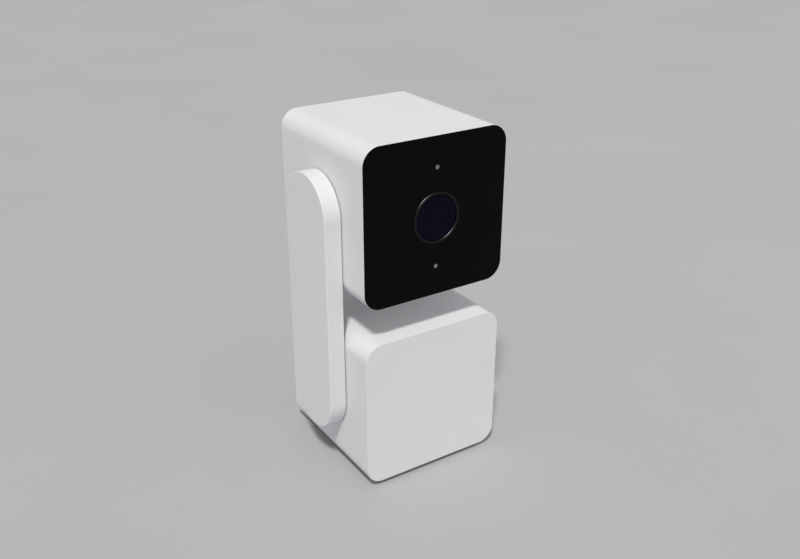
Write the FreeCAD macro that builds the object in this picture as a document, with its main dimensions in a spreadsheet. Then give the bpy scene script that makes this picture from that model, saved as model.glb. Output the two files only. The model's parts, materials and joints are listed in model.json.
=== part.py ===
"""Pan-tilt camera: a lower cube on a fixed foot, one side arm, and a tilting camera head.

The frame's origin is on the pan axis, at the level that the foot stands on. +Z is up, the camera looks
along -Y, and the arm is on the -X side. All sizes are in millimetres.
"""
import FreeCAD, Part
import math
import os
import re

import Sketcher
from fcgear import fcgear, involute

SIZES = {
    # The two cubes and the arm, outside
    "CubeSide": 58.0, "CornerRadius": 6.5, "Wall": 2.0, "BaseLift": 2.0, "HeadGap": 13.8,
    "ArmRadius": 14.5, "ArmThick": 6.4, "ArmGap": 0.4, "ArmWall": 1.4, "ArmEdge": 0.9,
    "CoverThick": 2.0, "FaceThick": 0.35, "FaceDeep": 1.8, "FaceLip": 1.2, "Slack": 0.1, "LipDepth": 1.4,
    "LipThick": 1.0, "SealThick": 0.9, "CoverScrewIn": 8.0,
    "PostRadius": 2.6, "PostDeep": 9.0, "PostAcross": 24.6, "PostUp": 22.0,
    # Foot and pan turntable
    "PadThick": 1.2, "PadInner": 10.5, "PadOuter": 20.0, "FootRadius": 21.6, "FootTop": 3.4,
    "BossRadius": 10.0, "FloorHole": 22.2, "ShoulderTop": 4.2, "HubRadius": 8.5, "SpigotRadius": 7.5,
    "SpigotLow": 9.3, "InsertRadius": 4.0, "InsertBore": 2.6, "InsertLong": 7.0, "InsertPocket": 8.0,
    "StopRadius": 18.0, "StopWide": 1.4, "StopTop": 4.9, "StopPocketIn": 16.2, "StopPocketOut": 20.0,
    "StopPocketTop": 5.3, "RunGap": 0.05, "RetainerThick": 1.0, "RetainerRadius": 9.5, "RetainerBore": 4.6,
    "CarrierThick": 2.0, "CarrierAcross": 22.3, "CarrierFront": 26.8, "CarrierBoss": 13.2,
    "CarrierBossTop": 9.0, "CarrierScrewSide": 19.0, "CarrierScrewEnd": 22.6,
    "BushRadius": 11.0, "BushFlange": 12.4, "BushLow": 4.3, "BushStep": 5.0, "BushTop": 9.1,
    # Gears, which the two drives share
    "Module": 0.5, "WheelTeeth": 45.0, "PinionTeeth": 15.0, "PressureAngle": 20.0, "ToothShift": 0.3,
    "GearThick": 3.0, "GearSpace": 15.08, "ShaftRadius": 1.5,
    # Drive motors
    "CanRadius": 10.0, "CanLong": 14.0, "EarSpan": 12.6, "EarRadius": 3.0, "EarThick": 1.0, "PlateThick": 1.5,
    "NoseRadius": 4.0, "CapWide": 12.0, "CapTall": 9.0, "CapDeep": 3.0,
    # Motor brackets: a plate on two legs, each with a screwed foot
    "BracketHalf": 18.0, "BracketFront": 25.4, "BracketBack": 5.0, "LegFront": 21.0, "LegBack": 9.0,
    "FootReach": 24.0, "FootFront": 19.0, "FootBack": 11.0, "FootScrew": 21.0, "FootScrewIn": 1.6,
    "TiltBracketHalf": 17.0, "TiltBracketFront": 7.0, "TiltBracketBack": 25.4, "TiltLegFront": 7.5,
    "TiltLegBack": 16.0, "TiltFootReach": 21.0,
    # Fasteners
    "ScrewRadius": 0.9, "ScrewHole": 1.0, "HeadRadius": 1.8, "HeadTall": 1.2,
    # Tilt joint
    "AxleRadius": 6.0, "AxleBore": 4.0, "AxleFlange": 11.5, "AxleFlangeThick": 1.4, "AxleReach": 19.8,
    "AxleScrews": 8.8,
    "TiltBushRadius": 8.0, "TiltBushFlange": 10.0, "TiltBushEnd": 24.7, "TiltGearEnd": 21.4,
    "TiltMotorFace": 17.8, "ArmPlateThick": 1.6, "ArmPlateRadius": 13.0, "ArmBossRadius": 2.2,
    "ArmBossSpread": 7.0, "HarnessRadius": 0.8, "HarnessBend": 4.2, "HarnessHole": 3.5, "HarnessLine": 33.5,
    "HarnessStart": 12.0,
    # Lens, its ring and the dots above and below it
    "RingRadius": 9.45, "RingInner": 8.7, "RingProud": 0.38, "RingDeep": 3.0, "GlassThick": 1.2,
    "GlassSink": 0.15, "DotRadius": 0.85, "DotUp": 18.1, "HoodLong": 3.4, "RingSeat": 0.6,
    "BarrelHead": 7.2, "BarrelRadius": 6.0, "BarrelBore": 4.8, "BarrelFront": 25.6, "BarrelStep": 21.0,
    "BarrelMouth": 5.7, "BarrelSeat": 1.6,
    "BarrelBack": 12.4, "HolderHalf": 8.0, "HolderFront": 15.0, "HolderBack": 8.8, "HolderWide": 13.6,
    "SlotFront": 11.9, "SlotBack": 10.5, "SlotHalf": 4.5, "FilterSide": 13.0, "FilterThick": 1.0,
    "FilterTall": 8.4, "FilterShift": 6.4, "FilterGlass": 5.4, "SensorSide": 7.0, "SensorThick": 0.9,
    # Circuit boards and what is on them
    "BoardThick": 1.6, "SensorBoardSide": 34.0, "LedBoardSide": 50.0, "LedBoardFront": 25.4,
    "LedAcross": 17.0, "LedUp": 12.0, "LedRadius": 1.6, "LedTall": 1.6, "HeadBoardLeft": 17.0,
    "HeadBoardFront": 18.0, "HeadBoardBack": 22.0, "HeadBoardHalf": 21.0, "SinkThick": 4.2, "SinkBase": 1.2,
    "SinkFront": 14.0, "SinkBack": 16.0, "SinkLow": 2.0, "SinkHigh": 18.0, "FinWide": 1.0, "FinPitch": 3.0,
    "AntennaHalf": 12.0, "AntennaFront": 12.0, "AntennaBack": 6.0, "AntennaThick": 0.6,
    "MainBoardFront": 15.6, "MainBoardHalf": 20.0, "MainBoardLow": 18.0,
    "MainBoardHigh": 24.0, "ChipThick": 1.4,
    # Back of the lower cube
    "UsbWide": 8.94, "UsbTall": 3.26, "UsbWall": 0.3, "UsbDrop": 14.0, "UsbSink": 0.2, "UsbBack": 1.2,
    "TongueInset": 1.3, "TongueHalf": 0.35, "SpeakerRadius": 11.0, "MagnetRadius": 8.0, "ConeInner": 3.0,
    "SpeakerDeep": 4.6, "SpeakerUp": 11.0, "GrilleHole": 0.7, "GrillePitch": 2.4,
    "ButtonAcross": 14.0, "ButtonRadius": 2.5, "ButtonGap": 0.1, "ButtonFlange": 3.2, "ButtonDeep": 3.4,
    "ButtonFlangeThick": 1.0, "SwitchSide": 6.0, "SwitchTall": 3.5, "PlungerRadius": 1.7, "MicRadius": 2.2,
    "MicThick": 1.2, "MicHole": 0.5,
    # Card slot and its flap, under the head
    "CardAcross": 16.2, "CardThick": 1.8, "CardWide": 13.4, "CardLong": 14.0, "SlotThick": 2.2,
    "SlotWide": 12.4, "DoorHinge": 21.0, "DoorLong": 9.8, "DoorHalf": 7.5, "DoorThick": 1.2,
    "DoorBead": 0.5, "DoorDepth": 0.5, "DoorGap": 0.3,
}

LOWER = "(BaseLift + CubeSide / 2)"
HEAD = "(BaseLift + CubeSide * 1.5 + HeadGap)"
HALF = "(CubeSide / 2)"
INSIDE = "(CubeSide / 2 - Wall)"
FLOOR_TOP = "(BaseLift + Wall)"
GEAR_TOP = "(SpigotLow + GearThick)"
MOTOR_LOW = "(SpigotLow + GearThick + 4)"
FIN_COUNT = 10
GRILLE_RINGS = 3
# Each chip's low and high limits on its board, from the middle of its cube
HEAD_CHIPS = (("-6", "4", "5", "15"), ("8", "18", "3", "11"), ("8", "14", "14", "18"))
MAIN_CHIPS = (("-6", "6", "4", "16"), ("9", "17", "6", "14"), ("8", "14", "-8", "-3"))
PLANE_ROLE = {"x": "YZ_Plane", "y": "XZ_Plane", "z": "XY_Plane"}
ORDER = {"x": "yzx", "y": "xzy", "z": "xyz"}

doc = FreeCAD.newDocument("PanTiltCamera")
sheet = doc.addObject("Spreadsheet::Sheet", "Sizes")
for row, (alias, number) in enumerate(SIZES.items(), start=1):
    sheet.set(f"A{row}", alias)
    sheet.set(f"B{row}", str(number))
    sheet.setAlias(f"B{row}", alias)
doc.recompute()
parts = []
inner_screws = []


# ---- Expressions on the sheet ----

def rule(text):
    """The sheet's expression for a sum of aliases."""
    return re.sub(r"[A-Z][A-Za-z]+", r"Sizes.\g<0>", str(text))


def value(text):
    """What such a sum comes to now."""
    return float(sheet.evalExpression(rule(text)))


def bind(thing, **sums):
    """Bind each property to its sum, where Base_x stands for Placement.Base.x."""
    for name, text in sums.items():
        thing.setExpression(name.replace("Base_", "Placement.Base."), rule(text))


def keep(thing, label):
    """Name a finished piece, so that it is written out as a part."""
    thing.Label = label
    parts.append(thing)
    return thing


# ---- Sketches ----

def sketch_on(body, axis, level):
    """An empty sketch square to an axis, at a level along it."""
    plane = next(item for item in body.Origin.OriginFeatures if item.Role == PLANE_ROLE[axis])
    sketch = body.newObject("Sketcher::SketchObject", "Outline")
    sketch.AttachmentSupport = (plane, [""])
    sketch.MapMode = "FlatFace"
    sign = "-" if axis == "y" else ""
    sketch.setExpression("AttachmentOffset.Base.z", rule(f"{sign}({level})"))
    return sketch


def pin_point(sketch, geometry, position, u, v):
    """Hold one point of a sketch at u, v from its origin."""
    for kind, text, across in (("DistanceX", u, -2), ("DistanceY", v, -1)):
        if abs(value(text)) < 1e-9:
            sketch.addConstraint(Sketcher.Constraint("PointOnObject", geometry, position, across))
        else:
            held = Sketcher.Constraint(kind, -1, 1, geometry, position, value(text))
            sketch.setExpression(f"Constraints[{sketch.addConstraint(held)}]", rule(text))


def set_radius(sketch, geometry, radius):
    """Give an arc or circle its radius from the sheet."""
    held = Sketcher.Constraint("Radius", geometry, value(radius))
    sketch.setExpression(f"Constraints[{sketch.addConstraint(held)}]", rule(radius))


def circle(sketch, u, v, radius):
    """A circle about u, v."""
    shape = Part.Circle(FreeCAD.Vector(value(u), value(v), 0), FreeCAD.Vector(0, 0, 1), value(radius))
    geometry = sketch.addGeometry(shape, False)
    pin_point(sketch, geometry, 3, u, v)
    set_radius(sketch, geometry, radius)


def polygon(sketch, points):
    """A closed outline of straight lines through the points."""
    spots = [FreeCAD.Vector(value(u), value(v), 0) for u, v in points]
    lines = [sketch.addGeometry(Part.LineSegment(start, end), False)
             for start, end in zip(spots, spots[1:] + spots[:1])]
    for line, following in zip(lines, lines[1:] + lines[:1]):
        sketch.addConstraint(Sketcher.Constraint("Coincident", line, 2, following, 1))
    for line, (u, v) in zip(lines, points):
        pin_point(sketch, line, 1, u, v)


def oblong(sketch, u_low, u_high, v_low, v_high):
    """A rectangle between two corners."""
    polygon(sketch, [(u_low, v_low), (u_high, v_low), (u_high, v_high), (u_low, v_high)])


def belt(sketch, centres, radius):
    """The outline of a belt round equal circles, whose centres go anticlockwise."""
    spots = [FreeCAD.Vector(value(u), value(v), 0) for u, v in centres]
    reach = value(radius)
    headings = [math.atan2(after.y - here.y, after.x - here.x)
                for here, after in zip(spots, spots[1:] + spots[:1])]
    arcs, lines = [], []
    for index, here in enumerate(spots):
        start, end = headings[index - 1] - math.pi / 2, headings[index] - math.pi / 2
        round_end = Part.ArcOfCircle(Part.Circle(here, FreeCAD.Vector(0, 0, 1), reach), start, end)
        arcs.append(sketch.addGeometry(round_end, False))
        side = FreeCAD.Vector(math.cos(end), math.sin(end), 0) * reach
        after = spots[(index + 1) % len(spots)]
        lines.append(sketch.addGeometry(Part.LineSegment(here + side, after + side), False))
    for index, arc in enumerate(arcs):
        following = arcs[(index + 1) % len(arcs)]
        sketch.addConstraint(Sketcher.Constraint("Tangent", arc, 2, lines[index], 1))
        sketch.addConstraint(Sketcher.Constraint("Tangent", lines[index], 2, following, 1))
        pin_point(sketch, arc, 3, *centres[index])
        set_radius(sketch, arc, radius)


def rounded(sketch, half, radius, middle="0"):
    """A square of half-width half, with rounded corners, about a middle height."""
    reach = f"({half} - ({radius}))"
    low, high = f"{middle} - {reach}", f"{middle} + {reach}"
    belt(sketch, [(f"-{reach}", low), (reach, low), (reach, high), (f"-{reach}", high)], radius)


# ---- Solids ----

def new_body(label):
    """An empty body, kept under its label."""
    return keep(doc.addObject("PartDesign::Body", "Body"), label)


def draw(body, axis, level, outlines):
    """A sketch that holds the outlines, each a drawing function and what it takes."""
    sketch = sketch_on(body, axis, level)
    for pen, *sizes in outlines:
        pen(sketch, *sizes)
    return sketch


def pad(body, axis, low, high, *outlines):
    """Add the outlines, stretched from low to high along the axis."""
    feature = body.newObject("PartDesign::Pad", "Pad")
    feature.Profile = draw(body, axis, high if axis == "y" else low, outlines)
    bind(feature, Length=f"({high}) - ({low})")
    return feature


def pocket(body, axis, low, high, *outlines):
    """Cut the outlines away from low to high along the axis, and see that something went."""
    doc.recompute()
    before = body.Shape.Volume
    feature = body.newObject("PartDesign::Pocket", "Pocket")
    feature.Profile = draw(body, axis, low if axis == "y" else high, outlines)
    bind(feature, Length=f"({high}) - ({low})")
    doc.recompute()
    if body.Shape.Volume >= before - 1e-6:
        raise RuntimeError(f"a pocket of {body.Label} cuts nothing")


def turned(label, axis, points):
    """A solid of revolution about an axis through 0, from (radius, along) points."""
    body = new_body(label)
    plane, line = {"x": ("y", "H_Axis"), "y": ("x", "H_Axis"), "z": ("y", "V_Axis")}[axis]
    if axis != "z":
        points = [(along, radius) for radius, along in points]
    feature = body.newObject("PartDesign::Revolution", "Revolution")
    sketch = draw(body, plane, "0", [(polygon, points)])
    feature.Profile = sketch
    feature.ReferenceAxis = (sketch, [line])
    feature.Angle = 360
    return body


def raise_to(thing, level):
    """Stand a piece, made about 0, at a level."""
    bind(thing, Base_z=level)
    return thing


def brick(x, y, z):
    """A box between pairs of limits."""
    box = doc.addObject("Part::Box", "Box")
    for (low, high), size, base in zip((x, y, z), ("Length", "Width", "Height"), ("x", "y", "z")):
        bind(box, **{size: f"({high}) - ({low})", f"Base_{base}": low})
    return box


def rod(axis, low, high, u, v, radius):
    """A cylinder along an axis, whose centre line is at u, v on the other two."""
    cylinder = doc.addObject("Part::Cylinder", "Cylinder")
    turn = {"x": FreeCAD.Rotation(FreeCAD.Vector(0, 1, 0), 90),
            "y": FreeCAD.Rotation(FreeCAD.Vector(1, 0, 0), -90), "z": FreeCAD.Rotation()}
    cylinder.Placement = FreeCAD.Placement(FreeCAD.Vector(), turn[axis])
    spots = dict(zip(ORDER[axis], (u, v, low)))
    bind(cylinder, Radius=radius, Height=f"({high}) - ({low})", Base_x=spots["x"], Base_y=spots["y"],
         Base_z=spots["z"])
    return cylinder


def fuse(*pieces):
    """One shape of several. Pieces that don't touch stay separate solids."""
    joined = doc.addObject("Part::MultiFuse", "Fusion")
    joined.Shapes = list(pieces)
    return joined


def cut(base, *tools):
    """The base with the tools taken out of it."""
    result = doc.addObject("Part::Cut", "Cut")
    result.Base = base
    result.Tool = tools[0] if len(tools) == 1 else fuse(*tools)
    return result


def screws(axis, tip, seat, spots):
    """Loose pan-head screws along an axis, from tip to seat and a head beyond it, at u, v spots."""
    outward = value(seat) > value(tip)
    pieces = []
    for u, v in spots:
        top = f"{seat} + HeadTall" if outward else f"{seat} - HeadTall"
        shank = (tip, seat) if outward else (seat, tip)
        head = (seat, top) if outward else (top, seat)
        pieces.append(rod(axis, *shank, u, v, "ScrewRadius"))
        pieces.append(rod(axis, *head, u, v, "HeadRadius"))
    return pieces


def keep_group(label, pieces):
    """Keep loose pieces as one part of separate solids."""
    return keep(fuse(*pieces), label)


def corners(u, v, middle="0"):
    """The four spots at plus and minus u and v, v counted from a middle."""
    return [(f"{a}({u})", f"{middle} {b} ({v})") for a in ("", "-") for b in ("+", "-")]


def gear_outline(teeth, shift):
    """The closed involute outline of an external gear about 0, its first tooth on +X."""
    builder = fcgear.FCWireBuilder()
    involute.CreateExternalGear(builder, value("Module"), int(value(teeth)), value("PressureAngle"),
                                addCoeff=1.0, dedCoeff=1.25, filletCoeff=0.2, shiftCoeff=value(shift))
    return Part.Wire([edge.toShape() for edge in builder.wire])


def toothed(teeth, shift, turn):
    """A gear blank of the shared thickness, up from 0, with its teeth turned by an angle."""
    outline = doc.addObject("Part::Feature", "ToothOutline")
    outline.Shape = gear_outline(teeth, shift)
    outline.Placement = FreeCAD.Placement(FreeCAD.Vector(), FreeCAD.Rotation(FreeCAD.Vector(0, 0, 1), turn))
    blank = doc.addObject("Part::Extrusion", "Toothed")
    blank.Base = outline
    blank.DirMode = "Custom"
    blank.Dir = FreeCAD.Vector(0, 0, 1)
    blank.Solid = True
    bind(blank, LengthFwd="GearThick")
    return blank


def mesh_turn(direction):
    """How far a pinion's teeth are turned to mesh with the wheel, when it lies in a direction from it."""
    pitch = 360 / value("WheelTeeth")
    tooth_ahead = pitch / 2 - (direction + pitch / 2) % pitch
    ratio = value("WheelTeeth / PinionTeeth")
    return direction + 180 + 180 / value("PinionTeeth") - ratio * tooth_ahead


def wheel(label, bore):
    """The fixed gear of a drive, about +Z, with its bore."""
    hole = rod("z", "-1", "GearThick + 1", "0", "0", bore)
    return keep(cut(toothed("WheelTeeth", "-ToothShift", 0.0), hole), label)


def pinion(label, direction, behind, ahead):
    """A drive's pinion on its shaft, about +Z, in mesh with the wheel that lies behind it in a direction."""
    shaft = rod("z", f"-({behind})", f"GearThick + {ahead}", "0", "0", "ShaftRadius")
    return keep(fuse(toothed("PinionTeeth", "ToothShift", mesh_turn(direction)), shaft), label)


# ---- The fixed foot ----

def make_foot():
    """Foot pad, foot plate with its hub, tripod insert, and the fixed pan gear with its retainer."""
    turned("foot_pad", "z", [("PadInner", "0"), ("PadOuter", "0"), ("PadOuter", "PadThick"),
                             ("PadInner", "PadThick")])
    plate = turned("base_plate", "z", [
        ("InsertRadius", "0"), ("BossRadius", "0"), ("BossRadius", "PadThick"), ("FootRadius", "PadThick"),
        ("FootRadius", "FootTop"), ("BossRadius + 0.5", "FootTop"), ("BossRadius + 0.5", "ShoulderTop"),
        ("HubRadius", "ShoulderTop"), ("HubRadius", "SpigotLow"), ("SpigotRadius", "SpigotLow"),
        ("SpigotRadius", GEAR_TOP), ("0", GEAR_TOP), ("0", "InsertPocket"), ("InsertRadius", "InsertPocket")])
    pad(plate, "z", "FootTop - 0.5", "StopTop",
        (oblong, "-StopWide / 2", "StopWide / 2", "StopRadius - 1.2", "StopRadius + 1.2"))
    spots = retainer_spots()
    pocket(plate, "z", "InsertPocket + 0.5", GEAR_TOP, *[(circle, u, v, "ScrewRadius") for u, v in spots])
    turned("tripod_insert", "z", [("InsertBore", "0"), ("InsertRadius", "0"), ("InsertRadius", "InsertLong"),
                                  ("InsertBore", "InsertLong")])
    raise_to(wheel("pan_gear", "SpigotRadius"), "SpigotLow")
    retainer = new_body("pan_retainer")
    pad(retainer, "z", GEAR_TOP, f"{GEAR_TOP} + RetainerThick", (circle, "0", "0", "RetainerRadius"),
        *[(circle, u, v, "ScrewHole") for u, v in spots])
    keep_group("retainer_screws", screws("z", "InsertPocket + 0.7", f"{GEAR_TOP} + RetainerThick", spots))


def retainer_spots():
    """Three screw places round the hub."""
    return [(f"RetainerBore * cos({turn})", f"RetainerBore * sin({turn})") for turn in (90, 210, 330)]


# ---- Housings ----

def rear_posts(body, middle):
    """The four posts that take the rear cover's screws."""
    spots = corners("PostAcross", "PostUp", middle)
    end = f"{INSIDE} - LipDepth"
    pad(body, "y", f"{end} - PostDeep", end, *[(circle, u, v, "PostRadius") for u, v in spots])
    pocket(body, "y", f"{end} - PostDeep + 2", end, *[(circle, u, v, "ScrewRadius") for u, v in spots])


def make_body_shell():
    """The lower cube's shell: closed in front, open behind, with a round hole in its floor."""
    shell = new_body("body_shell")
    pad(shell, "y", f"-{HALF}", f"{HALF} - CoverThick", (rounded, HALF, "CornerRadius", LOWER))
    pocket(shell, "y", f"-{INSIDE}", INSIDE, (rounded, INSIDE, "(CornerRadius - Wall)", LOWER))
    pocket(shell, "z", "BaseLift - 1", f"{FLOOR_TOP} + 0.5", (circle, "0", "0", "FloorHole"))
    pocket(shell, "z", "BaseLift + 0.6", f"{FLOOR_TOP} + 0.5",
           *[(circle, u, v, "ScrewRadius") for u, v in carrier_spots()])
    pocket(shell, "x", f"-{HALF} - 1", f"-{INSIDE} + 0.5", (circle, "0", LOWER, "HarnessHole"),
           *[(circle, u, v, "ScrewHole") for u, v in arm_spots(LOWER)])
    rear_posts(shell, LOWER)


def make_head_shell():
    """The head's shell: a rounded-square tube with the axle's hole, the card slot and the flap's recess."""
    shell = new_body("head_shell")
    pad(shell, "y", f"-{HALF} + FaceThick", f"{HALF} - CoverThick", (rounded, HALF, "CornerRadius", HEAD))
    pocket(shell, "y", f"-{HALF}", HALF, (rounded, INSIDE, "(CornerRadius - Wall)", HEAD))
    pocket(shell, "x", f"-{HALF} - 1", f"-{INSIDE} + 0.5", (circle, "0", HEAD, "TiltBushRadius"))
    under = f"{HEAD} - {HALF}"
    pocket(shell, "z", f"{under} - 1", f"{under} + DoorThick + 0.1",
           (oblong, "DoorHinge - DoorLong - DoorGap", "DoorHinge + DoorBead + DoorGap", "-DoorHalf - DoorGap",
            "DoorHalf + DoorGap"))
    pocket(shell, "z", f"{under} - 1", f"{under} + Wall + 0.5",
           (oblong, "CardAcross - SlotThick / 2", "CardAcross + SlotThick / 2", "-SlotWide / 2",
            "SlotWide / 2"))
    rear_posts(shell, HEAD)


def rear_cover(label, middle):
    """A cube's rear cover: a plate with a locating lip inside the seal, and four screw holes."""
    cover = new_body(label)
    inner = f"({INSIDE} - Slack - SealThick)"
    pad(cover, "y", f"{HALF} - CoverThick", HALF, (rounded, HALF, "CornerRadius", middle))
    pad(cover, "y", f"{INSIDE} - LipDepth + 0.1", f"{HALF} - CoverThick",
        (rounded, inner, "(CornerRadius - Wall - 1)", middle),
        (rounded, f"({inner} - LipThick)", "(CornerRadius - Wall - 2)", middle))
    spots = corners("PostAcross", "PostUp", middle)
    pocket(cover, "y", f"{INSIDE} - LipDepth - 1", HALF, *[(circle, u, v, "ScrewHole") for u, v in spots])
    pocket(cover, "y", f"{HALF} - HeadTall - 0.1", HALF,
           *[(circle, u, v, "HeadRadius + 0.15") for u, v in spots])
    return cover


def rear_seal(label, middle):
    """The rubber ring between a shell's wall and its rear cover's lip."""
    seal = new_body(label)
    outer = f"({INSIDE} - Slack / 2)"
    pad(seal, "y", f"{INSIDE} - LipDepth + 0.3", INSIDE,
        (rounded, outer, "(CornerRadius - Wall - 0.1)", middle),
        (rounded, f"({INSIDE} - SealThick)", "(CornerRadius - Wall - 0.9)", middle))


def rear_screws(middle):
    """The four loose screws of a rear cover."""
    return screws("y", f"{INSIDE} - CoverScrewIn", f"{HALF} - HeadTall - 0.1",
                  corners("PostAcross", "PostUp", middle))


def make_body_rear():
    """The lower cube's rear cover, with its port, button, microphone and speaker holes, and its seal."""
    cover = rear_cover("body_rear_cover", LOWER)
    low = f"{LOWER} - UsbDrop"
    reach = "(UsbWide / 2 - UsbTall / 2)"
    grille = [(circle, "0", f"{LOWER} + SpeakerUp", "GrilleHole")]
    for ring in range(1, GRILLE_RINGS + 1):
        for step in range(6 * ring):
            turn = 60.0 * step / ring
            grille.append((circle, f"{ring} * GrillePitch * cos({turn})",
                           f"{LOWER} + SpeakerUp + {ring} * GrillePitch * sin({turn})", "GrilleHole"))
    pocket(cover, "y", f"{INSIDE} - 1", HALF, *grille)
    ends = [(f"-{reach}", low), (reach, low)]
    pocket(cover, "y", f"{INSIDE} - 1", HALF, (belt, ends, "UsbTall / 2 + 0.15"),
           (circle, "ButtonAcross", low, "ButtonRadius + ButtonGap"),
           (circle, "-ButtonAcross", low, "MicHole"))
    rear_seal("rear_cover_seal", LOWER)
    keep_group("rear_cover_screws", rear_screws(LOWER))


def make_head_rear():
    """The head's plain rear cover and its seal."""
    rear_cover("head_rear_cover", HEAD)
    rear_seal("head_rear_seal", HEAD)


# ---- Pan turntable and drive, inside the lower cube ----

def carrier_spots():
    """The screw places at the carrier's corners."""
    return corners("CarrierScrewSide", "CarrierScrewEnd")


def make_pan_carrier():
    """The carrier plate that turns on the hub, and its bush."""
    top = f"({FLOOR_TOP} + CarrierThick)"
    carrier = new_body("pan_carrier")
    pad(carrier, "z", FLOOR_TOP, top,
        (oblong, "-CarrierAcross", "CarrierAcross", "-CarrierFront", "CarrierFront - LipDepth - 0.2"))
    pad(carrier, "z", f"{top} - 0.5", "CarrierBossTop", (circle, "0", "0", "CarrierBoss"))
    pocket(carrier, "z", f"{FLOOR_TOP} - 1", "CarrierBossTop", (circle, "0", "0", "BushRadius"))
    pocket(carrier, "z", f"{FLOOR_TOP} - 1", "BushStep", (circle, "0", "0", "BushFlange"))
    pocket(carrier, "z", f"{FLOOR_TOP} - 1", "StopPocketTop", (circle, "0", "0", "StopPocketOut"),
           (circle, "0", "0", "StopPocketIn"))
    pad(carrier, "z", FLOOR_TOP, "StopPocketTop + 0.2",
        (oblong, "-StopWide / 2", "StopWide / 2", "-StopPocketOut - 0.5", "-StopPocketIn + 0.5"))
    pocket(carrier, "z", FLOOR_TOP, top, *[(circle, u, v, "ScrewHole") for u, v in carrier_spots()])
    turned("pan_bush", "z", [
        ("HubRadius + RunGap", "BushLow"), ("BushFlange", "BushLow"), ("BushFlange", "BushStep"),
        ("BushRadius", "BushStep"), ("BushRadius", "BushTop"), ("HubRadius + RunGap", "BushTop")])


def motor(label, **place):
    """A geared can motor about +Z, its mounting ears at 0, with a nose below and a wire cap at its side."""
    ears = [("-EarSpan", "0"), ("EarSpan", "0")]
    body = new_body(label)
    pad(body, "z", "0", "EarThick", (belt, ears, "EarRadius"))
    pad(body, "z", "0", "CanLong", (circle, "0", "0", "CanRadius"))
    pad(body, "z", "-PlateThick", "0.5", (circle, "0", "0", "NoseRadius"))
    pad(body, "z", "CanLong / 2 - CapTall / 2", "CanLong / 2 + CapTall / 2",
        (oblong, "-CapWide / 2", "CapWide / 2", "0", "CanRadius + CapDeep"))
    pocket(body, "z", "-PlateThick - 1", "CanLong - 1", (circle, "0", "0", "ShaftRadius + RunGap"))
    pocket(body, "z", "0", "EarThick", *[(circle, u, v, "ScrewHole") for u, v in ears])
    bind(body, **place)
    return body


def make_pan_drive():
    """The pan motor, its bracket on the carrier, and the pinion in mesh with the fixed gear."""
    motor("pan_motor", Base_y="-GearSpace", Base_z=MOTOR_LOW)
    top = f"({FLOOR_TOP} + CarrierThick)"
    ears = [("-EarSpan", "-GearSpace"), ("EarSpan", "-GearSpace")]
    bracket = new_body("pan_motor_bracket")
    pad(bracket, "z", f"{MOTOR_LOW} - PlateThick", MOTOR_LOW,
        (oblong, "-BracketHalf", "BracketHalf", "-BracketFront", "-BracketBack"))
    pad(bracket, "z", top, f"{MOTOR_LOW} - 0.5",
        (oblong, "-BracketHalf", "PlateThick - BracketHalf", "-LegFront", "-LegBack"),
        (oblong, "BracketHalf - PlateThick", "BracketHalf", "-LegFront", "-LegBack"))
    pad(bracket, "z", top, f"{top} + PlateThick",
        (oblong, "-FootReach", "1 - BracketHalf", "-FootFront", "-FootBack"),
        (oblong, "BracketHalf - 1", "FootReach", "-FootFront", "-FootBack"))
    pocket(bracket, "z", f"{MOTOR_LOW} - PlateThick - 1", MOTOR_LOW,
           (circle, "0", "-GearSpace", "NoseRadius"),
           *[(circle, u, v, "ScrewRadius") for u, v in ears])
    feet = [("-FootScrew", "-GearSpace"), ("FootScrew", "-GearSpace")]
    pocket(bracket, "z", f"{top} - 1", f"{top} + PlateThick", *[(circle, u, v, "ScrewHole") for u, v in feet])
    inner_screws.extend(screws("z", "BaseLift + 0.8", top, carrier_spots())
                        + screws("z", f"{MOTOR_LOW} - PlateThick", f"{MOTOR_LOW} + EarThick", ears)
                        + screws("z", f"{top} - FootScrewIn", f"{top} + PlateThick", feet))
    carrier = next(part for part in parts if part.Label == "pan_carrier")
    pocket(carrier, "z", f"{top} - FootScrewIn", top, *[(circle, u, v, "ScrewRadius") for u, v in feet])
    drive = pinion("pan_pinion", 270, 1.2, 9.0)
    bind(drive, Base_y="-GearSpace", Base_z="SpigotLow")


# ---- The arm and the tilt joint ----

def arm_spots(middle):
    """The four screw places that hold the arm to the lower cube."""
    return corners("ArmBossSpread", "ArmBossSpread", middle)


def pill(radius):
    """The arm's outline of a given radius, as centres and radius for a belt."""
    return (belt, [("0", LOWER), ("0", HEAD)], radius)


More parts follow.
